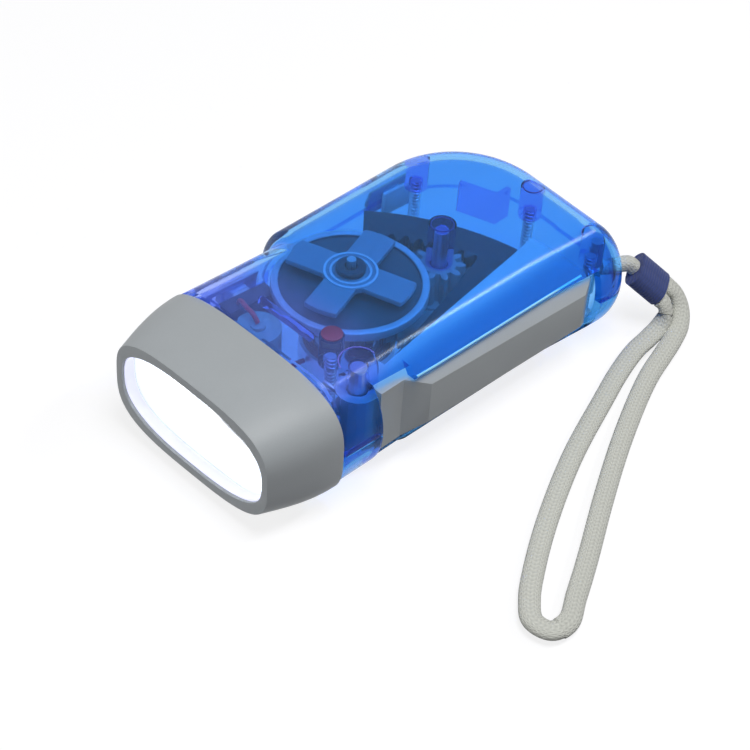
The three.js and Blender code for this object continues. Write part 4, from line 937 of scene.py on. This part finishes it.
def smooth_route(points):
    """Points along a smooth curve through the given ones, with a few between each two."""
    given = [Vector(point) for point in points]
    ends = [2 * given[0] - given[1], *given, 2 * given[-1] - given[-2]]
    route = []
    for before, start, end, after in zip(ends, ends[1:], ends[2:], ends[3:]):
        knots = [0]
        for first, second in ((before, start), (start, end), (end, after)):
            knots.append(knots[-1] + math.sqrt((second - first).length))
        for step in range(STEPS_PER_BEND):
            time = between(knots[1], knots[2], step / STEPS_PER_BEND)
            route.append(curve_point((before, start, end, after), knots, time))
    route.append(given[-1])
    return route


def curve_point(controls, knots, time):
    """A point of a centripetal curve, by repeated blending of its four controls."""
    level = list(controls)
    for span in (1, 2, 3):
        level = [
            level[place].lerp(level[place + 1], blend_share(knots, place, span, time))
            for place in range(len(level) - 1)
        ]
    return level[0]


def blend_share(knots, place, span, time):
    """How far a time is between the knots of one blend. The last blend keeps to the middle two."""
    low, high = (knots[1], knots[2]) if span == 3 else (knots[place], knots[place + span])
    return (time - low) / (high - low)


def tape(name, route, half_width, half_thickness, tilt_at):
    """A flat soft tube along a route, with a UV map that counts round it and along it in millimetres."""
    travelled = [0]
    for first, second in zip(route, route[1:]):
        travelled.append(travelled[-1] + (second - first).length)
    rings = []
    for place, centre in enumerate(route):
        ahead = route[min(place + 1, len(route) - 1)] - route[max(place - 1, 0)]
        ahead.normalize()
        across = tilt_at(travelled[place] / travelled[-1], ahead)
        across = (across - ahead * across.dot(ahead)).normalized()
        over = ahead.cross(across)
        ring = []
        for side in range(STRAP_SIDES):
            angle = math.tau * side / STRAP_SIDES
            wide = squared(math.cos(angle), STRAP_FLATNESS_SHARES[0]) * half_width
            thick = squared(math.sin(angle), STRAP_FLATNESS_SHARES[1]) * half_thickness
            ring.append(centre + across * wide + over * thick)
        rings.append(ring)
    made = loft(name, rings)
    add_route_map(made, travelled)
    return shaded(made)


def add_route_map(made, travelled):
    """The UV map of a tape: once round it in U, and the way along it in V."""
    mesh = made.data
    layer = mesh.uv_layers.new(name="route")
    for polygon in mesh.polygons:
        corners = [mesh.loops[loop].vertex_index for loop in polygon.loop_indices]
        sides = [corner % STRAP_SIDES for corner in corners]
        wraps = max(sides) - min(sides) > STRAP_SIDES / 2
        for loop, corner, side in zip(polygon.loop_indices, corners, sides):
            turn = 1 if wraps and side == 0 else side / STRAP_SIDES
            layer.data[loop].uv = (turn, travelled[corner // STRAP_SIDES])


def loop_tilt(share, ahead):
    """Which way the strap's width points: flat on the table, turned up where it meets the sleeve."""
    flat = Vector((-ahead.y, ahead.x, 0))
    if flat.length < NEARLY_UPRIGHT_SHARE:
        flat = Vector((1, 0, 0))
    flat.normalize()
    start_share, end_share = STRAP_LIFT_SHARES
    lift = max(0, 1 - share / start_share, (share - (1 - end_share)) / end_share)
    lean = Vector((0, 0, STRAP_LEAN_SHARE if share > 0.5 else 0))
    sleeve = Vector(CRIMP_LATERAL)
    if flat.dot(sleeve) < 0:
        sleeve.negate()
    return (flat + lean) * (1 - lift) + sleeve * lift


def make_strap():
    """The strap's braided root and loop, which are one cord with the sleeve on it."""
    weave = braid("braided_strap", *STRAP_BRAID)
    route = smooth_route(LOOP_ROUTE)
    loop = tape("strap_loop", route, STRAP_WIDTH / 2, STRAP_THICKNESS / 2, loop_tilt)
    upright = Vector((0, 0, 1))
    root_route = smooth_route(NECK_ROUTE)
    root = tape("strap_root", root_route, STRAP_NECK_RADIUS, STRAP_NECK_RADIUS, lambda share, ahead: upright)
    sleeve = make_sleeve()
    dressed(root, weave, "strap_braid", "housing", "strap_neck")
    dressed(loop, weave, "strap_braid", "housing", "wrist_strap")
    length = sum((second - first).length for first, second in zip(route, route[1:]))
    tuple(route[0] * MM)
    [tuple(point * MM) for point in route]


def make_sleeve():
    """The wound sleeve that holds both runs of the strap together."""
    start, end = map(Vector, CRIMP_ENDS)
    route = [start.lerp(end, step / POST_STEPS) for step in range(POST_STEPS + 1)]
    lateral = Vector(CRIMP_LATERAL)
    sleeve = tape("strap_sleeve", route, *CRIMP_HALF, lambda share, ahead: lateral)
    return dressed(sleeve, braid("wound_thread", *SLEEVE_BRAID), "sleeve_navy", "housing", "strap_crimp")


# Housing halves

def neck_share(x):
    """How far along the neck a place is, 0 at the grip and 1 at the head."""
    return (x - GRIP_FRONT_X) / NECK_LENGTH


def lever_side_y(x):
    """The lever side in plan: a straight line along the grip and another along the neck."""
    if x > GRIP_FRONT_X:
        return between(LEVER_SIDE_MIDDLE_Y, LEVER_SIDE_FRONT_Y, neck_share(x))
    bend_x, bend_y = LEVER_SIDE_BEND
    return between(bend_y, LEVER_SIDE_MIDDLE_Y, (x - bend_x) / (GRIP_FRONT_X - bend_x))


def under_lever(x, angle):
    """How much further than the roof's edge the floor's edge is drawn in below the lever."""
    if angle > 0:
        return 0
    edge = between(UNDER_LEVER_ROUND, EDGE_ROUND, min(max(neck_share(x), 0), 1))
    return (edge - EDGE_ROUND) * (1 - math.cos(angle))


def switch_side_y(x):
    """The switch side in plan: the grip, a smooth step, and the sloping floor of the notch."""
    notch = between(NECK_SWITCH_REAR_Y, NECK_SWITCH_FRONT_Y, neck_share(x))
    rise = min(max((x - GRIP_FRONT_X) / (2 * NOTCH_EASE) + 0.5, 0), 1)
    return between(REAR_CORNER[1], notch, rise * rise * (3 - 2 * rise))


def half_thickness(x):
    """Half the housing's thickness, which falls a little along the neck."""
    share = (x - NOTCH_FRONT_X) / (NECK_FRONT_X - NOTCH_FRONT_X)
    return between(MID, NECK_HALF_FRONT, max(share, 0))


def corner_arc(before, at, after, radius, drawn_in, steps):
    """The rounded corner of a plan outline that is drawn in evenly on all sides."""
    into = (Vector(at) - Vector(before)).normalized()
    out = (Vector(after) - Vector(at)).normalized()
    inward = Vector((-into.y - out.y, into.x + out.x)) / (1 + into.dot(out))
    left = max(radius - drawn_in, SHARPEST_CORNER)
    centre = Vector(at) + inward * (drawn_in + left)
    start = math.atan2(-into.x, into.y)
    turn = math.atan2(into.x * out.y - into.y * out.x, into.dot(out))
    return [centre + polar(left, start + turn * step / steps) for step in range(steps + 1)]


def stations(start, end, steps):
    """Evenly spaced places from a start to an end, both of them among these."""
    return [between(start, end, step / steps) for step in range(steps + 1)]


def housing_ring(angle, inset, front_stops):
    """One outline of the housing at an angle round its side, from its flat bottom to its flat top."""
    def height(x, extra):
        return MID + (half_thickness(x) - inset - extra) * math.sin(angle)

    def drawn_in(extra):
        total = inset + extra
        return total + (EDGE_ROUND - total) * (1 - math.cos(angle))

    def lever_y(x, extra):
        return lever_side_y(x) - under_lever(x, angle) - drawn_in(extra)

    def switch_y(x, extra):
        return switch_side_y(x) + drawn_in(extra)

    grip_x = stations(NOTCH_FRONT_X, LEVER_SIDE_BEND[0], STRAIGHT_STEPS)[1:]
    notch_x = stations(GRIP_FRONT_X - NOTCH_EASE, NOTCH_FRONT_X, STRAIGHT_STEPS)[:-1]
    lever_side = [*reversed(front_stops), *((x, 0) for x in grip_x)]
    switch_side = [*((x, 0) for x in notch_x), *front_stops]
    shift = Vector((0, under_lever(STRAP_CORNER[0], angle)))
    bend = Vector(LEVER_SIDE_BEND) - shift
    strap_corner = Vector(STRAP_CORNER) - shift
    strap_arc = corner_arc(bend, strap_corner, REAR_CORNER, STRAP_CORNER_RADIUS, drawn_in(0), CORNER_STEPS)
    switch_end = (FRONT_X, REAR_CORNER[1])
    rear_arc = corner_arc(strap_corner, REAR_CORNER, switch_end, REAR_CORNER_RADIUS, drawn_in(0), REAR_STEPS)
    ring = [(x, lever_y(x, extra), height(x, extra)) for x, extra in lever_side]
    ring += [(point.x, point.y, height(point.x, 0)) for point in strap_arc + rear_arc]
    ring += [(x, switch_y(x, extra), height(x, extra)) for x, extra in switch_side]
    return ring


def housing_solid(name, inset, neck_end, spigot_stops):
    """The housing's outer form or its cavity.

    Its flat bottom and top are capped station by station along the neck, so that the sloping roof stays true.
    """
    neck = [(x, 0) for x in stations(NOTCH_FRONT_X, neck_end, STRAIGHT_STEPS)]
    front_stops = neck + spigot_stops
    angles = stations(-math.pi / 2, math.pi / 2, SIDE_STEPS)
    rings = [housing_ring(angle, inset, front_stops) for angle in angles]
    count, paired = len(rings[0]), len(front_stops)
    caps = [(step, step + 1, count - 2 - step, count - 1 - step) for step in range(paired - 1)]
    caps.append(tuple(range(paired - 1, count - paired + 1)))
    return loft(name, rings, caps)


def hollow_housing(name):
    """The whole housing with its cavity and the spigot that enters the head."""
    outer = HEAD_WALL + GAP
    inner = outer + SPIGOT_WALL - WALL
    body = housing_solid(name, 0, NECK_FRONT_X, [(NECK_FRONT_X, outer), (SPIGOT_FRONT_X, outer)])
    rear = NECK_FRONT_X - WALL
    cavity = housing_solid("cavity", WALL, rear, [(rear, inner), (SPIGOT_FRONT_X + WALL, inner)])
    return combined(body, [cavity], "DIFFERENCE")


def lever_windows():
    """The long opening that the lever fills, and the taller one about its knuckle."""
    long = box((WINDOW_X[0], WINDOW_INNER_Y, MID - WINDOW_HALF), (WINDOW_X[1], OUTSIDE, MID + WINDOW_HALF))
    tall_low = (TALL_WINDOW_X[0], TALL_WINDOW_INNER_Y, MID - TALL_WINDOW_HALF)
    return [long, box(tall_low, (TALL_WINDOW_X[1], OUTSIDE, MID + TALL_WINDOW_HALF))]


def node_space(node, room):
    """The box that a solid of the frame fills, with room all round it, for an opening."""
    low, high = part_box(node)
    return box([value / MM - room for value in low], [value / MM + room for value in high])


def inside_walls(body):
    """Cuts off what would stand out through the rounded edges of the housing."""
    rear = NECK_FRONT_X - WALL
    return combined(body, [housing_solid("inside", WALL / 2, rear, [])], "INTERSECT")


def make_shell(name, node, low, high, material):
    """The half of the housing between two levels, with its openings."""
    body = hollow_housing(name)
    keep = box((-OUTSIDE, -OUTSIDE, low), (OUTSIDE, OUTSIDE, high))
    combined(body, [keep], "INTERSECT")
    combined(body, [*lever_windows(), node_space("switch_plate", GAP / 2)], "DIFFERENCE")
    eased(body, EASED_EDGE)
    return dressed(body, material, "clear_housing", "housing", node)


def screw_boss(place, top=BOSS_TOP):
    """The end of a screw's boss that shows under the roof."""
    return post(place, BOSS_RADIUS, SCREW_LEVEL[1] - BOSS_SHOWN, top)


def screw_holes(places):
    return [post(place, SCREW_RADIUS + GAP, 0, SCREW_LEVEL[1] + GAP) for place in places]


def boss_group(name, parts, holes, material):
    """Bosses and ribs joined, bored from below and cut off at the housing's walls."""
    body = combined(parts[0], parts[1:], "UNION")
    body.name = name
    combined(body, holes, "DIFFERENCE")
    eased(inside_walls(body), EASED_EDGE)
    return dressed(body, material, "clear_housing", "housing")


def make_roof_bosses(material):
    """The bosses of two screws and the drive axle, and the ribs, which all hang from the roof."""
    screws = (CORNER_SCREW_AT, REAR_SCREW_AT)
    parts = [screw_boss(place) for place in screws]
    parts.append(post(DRIVE_AT, AXLE_BOSS_RADIUS, PINION_TOP + GAP, BOSS_TOP))
    parts += rib(REAR_RIB, RIB_BOTTOM, BOSS_TOP)
    parts += rib(CROSS_RIB, CROSS_RIB_BOTTOM, BOSS_TOP)
    axle_hole = post(DRIVE_AT, ROTOR_AXLE_RADIUS + GAP, 0, PIN_TOP + GAP)
    return boss_group("roof_bosses", parts, [*screw_holes(screws), axle_hole], material)


def make_clear_bosses(material):
    """The paler bosses over the lever pin and the other two screws."""
    pivot = post(PIVOT_AT, PIVOT_BOSS_RADIUS, MID + KNUCKLE_HALF + GAP, BOSS_TOP)
    neck = screw_boss(NECK_SCREW_AT, BOSS_TOP - BUNG_DEPTH - GAP)
    parts = [pivot, screw_boss(STRAP_SCREW_AT), neck]
    pin_hole = post(PIVOT_AT, PIVOT_PIN_RADIUS + GAP, 0, PIN_TOP + GAP)
    holes = [pin_hole, *screw_holes((STRAP_SCREW_AT, NECK_SCREW_AT))]
    return boss_group("clear_bosses", parts, holes, material)


def make_boss_rings(material):
    """The rings that mark where the bosses meet the roof."""
    bottom = BOSS_TOP - BOSS_RING_WIDTH
    rings = [
        flat_ring("boss_rings", centre, radius - BOSS_RING_WIDTH, radius, bottom, BOSS_TOP)
        for centre, radius in BOSS_RINGS
    ]
    body = combined(rings[0], rings[1:], "UNION")
    shaded(inside_walls(body))
    return dressed(body, material, "clear_housing", "housing")


def make_screw_bung(material):
    """The dark red end that shows on top of the neck's screw boss."""
    bung = post(NECK_SCREW_AT, BUNG_RADIUS, BOSS_TOP - BUNG_DEPTH, BOSS_TOP)
    bung.name = "neck_bung"
    eased(bung, EASED_EDGE)
    return dressed(bung, material, "dark_plastic", "housing")


# Head

def head_ring(x, half_width, half_height, squareness):
    """A squared oval across the beam, seen counter-clockwise from the front."""
    power = 2 / squareness
    ring = []
    for step in range(RING_STEPS):
        angle = math.tau * step / RING_STEPS
        across = half_width * squared(math.cos(angle), power)
        up = half_height * squared(math.sin(angle), power)
        ring.append((x, HEAD_Y + across, MID + up))
    return ring


def head_plate(name, rear_x, front_x, half, squareness):
    """A squared oval plate across the beam."""
    return loft(name, [head_ring(x, half[0], half[1], squareness) for x in (rear_x, front_x)])


def make_bezel(material):
    """The head's shroud, narrowing from the neck to a rounded lip, with its seat and mouth."""
    rings = []
    for step in range(HEAD_STEPS + 1):
        share = step / HEAD_STEPS
        drawn_in = 1 - math.cos(share * math.pi / 2)
        x = between(NECK_FRONT_X + GAP, FRONT_X, share)
        half_width = between(HEAD_REAR_HALF[0], HEAD_FRONT_HALF[0], drawn_in)
        half_height = between(HEAD_REAR_HALF[1], HEAD_FRONT_HALF[1], drawn_in)
        rings.append(head_ring(x, half_width, half_height, HEAD_SQUARENESS_SHARE))
    bezel = loft("head_shroud", rings)
    seat = [half + GAP for half in HEAD_SEAT_HALF]
    rear = NECK_FRONT_X - WALL
    cuts = [
        head_plate("cavity", rear, FRONT_X - LIP_DEPTH, seat, HEAD_SQUARENESS_SHARE),
        head_plate("mouth", rear, FRONT_X + WALL, HEAD_OPENING_HALF, OPENING_SQUARENESS_SHARE),
    ]
    combined(bezel, cuts, "DIFFERENCE")
    eased(bezel, LIP_ROUND, segments=4)
    return dressed(bezel, material, "grey_plastic", "housing", "head_bezel")


def make_mouth_lining(material):
    """The inside of the head's mouth, whose glow is painted lamplight from the lamps."""
    outer = HEAD_OPENING_HALF
    inner = [half - LINING for half in outer]
    rear, front = LENS_FRONT_X + GAP, FRONT_X - LIP_ROUND
    lining = head_plate("mouth_lining", rear, front, outer, OPENING_SQUARENESS_SHARE)
    hole = head_plate("hole", rear - WALL, front + WALL, inner, OPENING_SQUARENESS_SHARE)
    combined(lining, [hole], "DIFFERENCE")
    shaded(lining)
    return dressed(lining, material, "grey_plastic", "housing")


def make_lens(material):
    """The clear window that sits behind the head's lip."""
    lens = head_plate("front_lens", LENS_REAR_X, LENS_FRONT_X, HEAD_SEAT_HALF, HEAD_SQUARENESS_SHARE)
    eased(lens, LENS_EASE, segments=3)
    return dressed(lens, material, "lens_clear", "housing", "lens")


def lamp_places():
    return [HEAD_Y + side * LAMP_SPACING for side in (-1, 0, 1)]


def beam_turned(name, profile, y, stretch):
    """A closed body turned round the beam, from distance and radius pairs from its rear to its front."""
    rings = []
    for x, radius in profile:
        ring = circle((0, 0), radius, ROUND_STEPS)
        rings.append([(x, y + point.x, MID + point.y * stretch) for point in ring])
    return loft(name, rings)


def make_reflector(material):
    """The plate behind the window, with a bowl hollowed out for each lamp."""
    rear, front = REFLECTOR_X
    dish = head_plate("reflector_dish", rear, front, HEAD_SEAT_HALF, HEAD_SQUARENESS_SHARE)
    profile = [(rear - GAP, BOWL_REAR_RADIUS)]
    for step in range(HEAD_STEPS + 1):
        share = step / HEAD_STEPS
        radius = between(BOWL_REAR_RADIUS, BOWL_FRONT_RADIUS, math.sqrt(share))
        profile.append((between(rear, front, share), radius))
    profile.append((front + GAP, BOWL_FRONT_RADIUS))
    bowls = [beam_turned("bowl", profile, y, BOWL_STRETCH_SHARE) for y in lamp_places()]
    combined(dish, bowls, "DIFFERENCE")
    shaded(dish)
    return dressed(dish, material, "chromed_dish", "housing", "reflector")


def make_lamp(name, y, node, material):
    """A round-ended lamp with a flange at its foot."""
    start = SPIGOT_FRONT_X + GAP
    flange = LAMP_RADIUS + LAMP_FLANGE
    neck = start + 2 * LAMP_FLANGE
    profile = [(start, flange), (neck, flange), (neck, LAMP_RADIUS)]
    for step in range(HEAD_STEPS):
        angle = math.pi / 2 * step / HEAD_STEPS
        along = start + LAMP_LENGTH - LAMP_RADIUS + LAMP_RADIUS * math.sin(angle)
        profile.append((along, LAMP_RADIUS * math.cos(angle)))
    lamp = beam_turned(name, profile, y, 1)
    shaded(lamp)
    return dressed(lamp, material, "lamp_epoxy", "housing", node)


# Moving inner pieces

def make_flywheel(material):
    """The dynamo's wheel: a thin web between a hub and a thick rim."""
    bottom, top = FLYWHEEL_LEVEL
    bore = ROTOR_AXLE_RADIUS + GAP
    inner_rim = FLYWHEEL_RADIUS - FLYWHEEL_RIM
    web = bottom + FLYWHEEL_WEB
    hub_top = STAR_BASE - GAP
    wheel = turned("flywheel_disc", [
        (bore, bottom), (FLYWHEEL_RADIUS, bottom), (FLYWHEEL_RADIUS, top), (inner_rim, top),
        (inner_rim, web), (FLYWHEEL_HUB_RADIUS, web), (FLYWHEEL_HUB_RADIUS, hub_top), (bore, hub_top),
    ], ROTOR_AT)
    eased(wheel, EASED_EDGE)
    return dressed(wheel, material, "flywheel_grey", "rotor", "flywheel")


def make_bush(material):
    """The dark bush about the rotor axle, on top of the star."""
    bush = flat_ring("axle_bush", ROTOR_AT, ROTOR_AXLE_RADIUS + GAP, BUSH_RADIUS, *BUSH_LEVEL)
    eased(bush, EASED_EDGE)
    return dressed(bush, material, "dark_plastic", "rotor", "hub_bush")


def make_hub_rings(material):
    """Two thin rings raised on the star's hub, round the bush."""
    top = STAR_TOP + HUB_RING_HEIGHT
    rings = [
        flat_ring("hub_rings", ROTOR_AT, radius - HUB_RING_WIDTH, radius, STAR_TOP, top)
        for radius in HUB_RING_RADII
    ]
    body = shaded(combined(rings[0], rings[1:], "UNION"))
    return dressed(body, material, "star_grey", "rotor")


def make_eased_copy(node, name, ease, angle, material, slot, body):
    """A solid of the frame with its edges eased."""
    copy = eased(welded_copy(node, name), ease, angle=angle)
    return dressed(copy, material, slot, body, node)


# Wires, spring, winding and threads

def wire(name, points, radius, tree, material):
    """A round wire along a route."""
    edges = [(place, place + 1) for place in range(len(points) - 1)]
    return laid_out(name, tree, points, edges, {"Radius": radius * MM, "Sides": WIRE_SIDES}, material)


def make_wires(tree, red, dark):
    """The leads of the dynamo, the cell and the lamps."""
    cell_at = Vector(CELL_AT)
    towards = (cell_at - Vector(ROTOR_AT)).normalized()
    start = Vector(ROTOR_AT) + towards * (STATOR_OUTER_RADIUS + GAP)
    end = cell_at - towards * (CELL_RADIUS + GAP)
    coil_route = [(*start, COIL_WIRE_LEVEL), (*end, COIL_WIRE_LEVEL)]
    runs = (
        ("coil_lead", coil_route, red, "wire_red", "coil_wire"),
        ("cell_lead", smooth_route(CELL_WIRE_ROUTE), red, "wire_red", "cell_wire"),
        ("lamp_lead", smooth_route(LAMP_WIRE_ROUTE), dark, "wire_dark", "lamp_wire"),
    )
    for name, route, material, slot, node in runs:
        lead = wire(name, route, WIRE_RADIUS, tree, material)
        dressed(lead, material, slot, "housing", node)


def make_spring(tree, material):
    """The torsion spring's turns about the lever pin, with a leg to the sector and a leg to a screw boss."""
    radius = PIVOT_PIN_RADIUS + 2 * GAP + WIRE_RADIUS
    bottom = MID + WALL + GAP + WIRE_RADIUS
    top = MID + BARREL_HALF - 2 * GAP - WIRE_RADIUS
    steps = round(SPRING_TURNS * POST_STEPS)
    route = []
    for step in range(steps + 1):
        at = Vector(PIVOT_AT) + polar(radius, math.tau * (SPRING_TURNS * step / steps - 1 / 4))
        route.append((at.x, at.y, between(bottom, top, step / steps)))
    sector_leg = (PIVOT_AT[0] - SECTOR_INNER_RADIUS + 2 * GAP, PIVOT_AT[1] - radius, bottom)
    boss_leg = (route[-1][0], NECK_SCREW_AT[1] + BOSS_RADIUS + GAP, top)
    spring = wire("return_spring", [sector_leg, *route, boss_leg], WIRE_RADIUS, tree, material)
    return dressed(spring, material, "bright_steel", "housing", "lever_spring")


def make_winding(material):
    """The dynamo's coil as separate turns of wire, packed into its cup."""
    outer = STATOR_OUTER_RADIUS - STATOR_SHEET - GAP
    inner = outer - COIL_WIDTH
    bottom, top = STATOR_LEVEL[0] + STATOR_SHEET + GAP, STATOR_LEVEL[1] - GAP
    radii = stations(inner + COIL_STRAND, outer - COIL_STRAND, WINDING_LAYERS - 1)
    levels = stations(bottom + COIL_STRAND, top - COIL_STRAND, WINDING_ROWS - 1)
    points = [(radius, 0, level) for radius in radii for level in levels]
    values = {"Radius": COIL_STRAND * MM, "Steps": WINDING_STEPS, "Sides": THREAD_SIDES}
    coil = laid_out("coil_winding", winding_layout(), points, [], values, material)
    for vertex in coil.data.vertices:
        vertex.co += Vector((*ROTOR_AT, 0)) * MM
    return dressed(coil, material, "coil_copper", "housing", "stator_coil")


def make_threads(material):
    """The threads of the housing's screws, above their plain shanks."""
    bottom, top = SCREW_LEVEL
    start = bottom + THREAD_START
    points = [(x, y, start) for x, y in SCREW_PLACES]
    length = top - THREAD_RIDGE - start
    values = {
        "Radius": SCREW_RADIUS * MM, "Length": length * MM, "Turns": length / THREAD_PITCH,
        "Ridge": THREAD_RIDGE * MM, "Steps": THREAD_STEPS, "Sides": THREAD_SIDES,
    }
    threads = laid_out("screw_threads", thread_layout(), points, [], values, material)
    return dressed(threads, material, "bright_steel", "housing")


def make_window_rim(tree, material):
    """The housing's edge along the top of the lever's window, as a pale opaque bead: its pale colour is a
    painted highlight.
    """
    slope = math.asin(WINDOW_HALF / MID)
    drawn_in = EDGE_ROUND * (1 - math.cos(slope)) + HIGHLIGHT_RIM_RADIUS
    level = MID + WINDOW_HALF + HIGHLIGHT_RIM_RADIUS
    route = [(x, lever_side_y(x) - drawn_in, level) for x in stations(*HIGHLIGHT_RIM_X, STRAIGHT_STEPS)]
    rim = wire("window_rim_highlight", route, HIGHLIGHT_RIM_RADIUS, tree, material)
    return dressed(rim, material, "clear_housing", "housing")


# Lamps, floor and world

def hang_lamp(name, direction, distance, size, watts):
    """A soft lamp aimed at the torch, whose width lies along the torch."""
    light = bpy.data.lights.new(name, "AREA")
    light.shape = "ELLIPSE"
    light.size, light.size_y = (length * MM for length in size)
    light.energy = watts
    holder = bpy.data.objects.new(name, light)
    back = Vector(direction).normalized()
    width = (Vector((1, 0, 0)) - back * back.x).normalized()
    turn = Matrix((width, back.cross(width), back)).transposed().to_4x4()
    holder.matrix_world = Matrix.Translation(back * distance * MM) @ turn
    bpy.context.scene.collection.objects.link(holder)


def lay_floor():
    """A wide pale floor just under the torch."""
    corners = ((-1, -1), (1, -1), (1, 1), (-1, 1))
    points = [(x * FLOOR_HALF, y * FLOOR_HALF, -FLOOR_DROP) for x, y in corners]
    floor = shape("floor", points, [(0, 1, 2, 3)])
    floor.data.materials.append(paper_white("paper_white"))


def fill_world():
    """White all round where it is seen, and a little even light."""
    world = bpy.data.worlds.new("studio")
    world.use_nodes = True
    wiring = Wiring(world.node_tree)
    strength = wiring.seen_ray() * (1 - WORLD_LIGHT) + WORLD_LIGHT
    background = wiring.node("ShaderNodeBackground", {}, {"Color": WHITE, "Strength": strength})
    wiring.node("ShaderNodeOutputWorld", {}, {"Surface": background})
    bpy.context.scene.world = world


# Making everything

place_camera()
make_strap()

finishes = make_finishes()
make_shell("upper_half", "left_shell", MID + SEAM_GAP / 2, THICKNESS + WALL, finishes["clear_blue"])
make_shell("lower_half", "right_shell", -WALL, MID - SEAM_GAP / 2, finishes["clear_blue"])
make_roof_bosses(finishes["clear_violet"])
make_clear_bosses(finishes["clear_boss"])
make_boss_rings(finishes["ring_violet"])
make_screw_bung(finishes["dark_red"])
make_bezel(finishes["satin_grey"])
make_mouth_lining(finishes["lavender_glow"])
make_lens(finishes["clear_lens"])
# The dish's chrome glows with painted lamplight
make_reflector(finishes["lit_chrome"])
for number, lamp_y in enumerate(lamp_places(), 1):
    make_lamp(f"lamp_{number}", lamp_y, f"led_{number}", finishes["lamp_epoxy"])
make_flywheel(finishes["cast_grey"])
make_bush(finishes["dark_moulding"])
make_hub_rings(finishes["ring_grey"])
for node, piece, ease, angle, finish, slot, body in EASED_COPIES:
    make_eased_copy(node, piece, ease, angle, finishes[finish], slot, body)
round_wire = wire_layout()
make_wires(round_wire, finishes["red_insulation"], finishes["dark_insulation"])
make_spring(round_wire, finishes["bright_steel"])
make_winding(finishes["enamelled_copper"])
make_threads(finishes["bright_steel"])
make_window_rim(round_wire, finishes["pale_rim_blue"])
for finish, nodes in KEPT_SOLIDS.items():
    for node in nodes:
        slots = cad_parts[node].data.materials
        slots.clear()
        slots.append(finishes[finish])

for name, lamp in STUDIO_LAMPS.items():
    hang_lamp(name, *lamp)
lay_floor()
fill_world()
bpy.context.scene.view_settings.view_transform = "Standard"
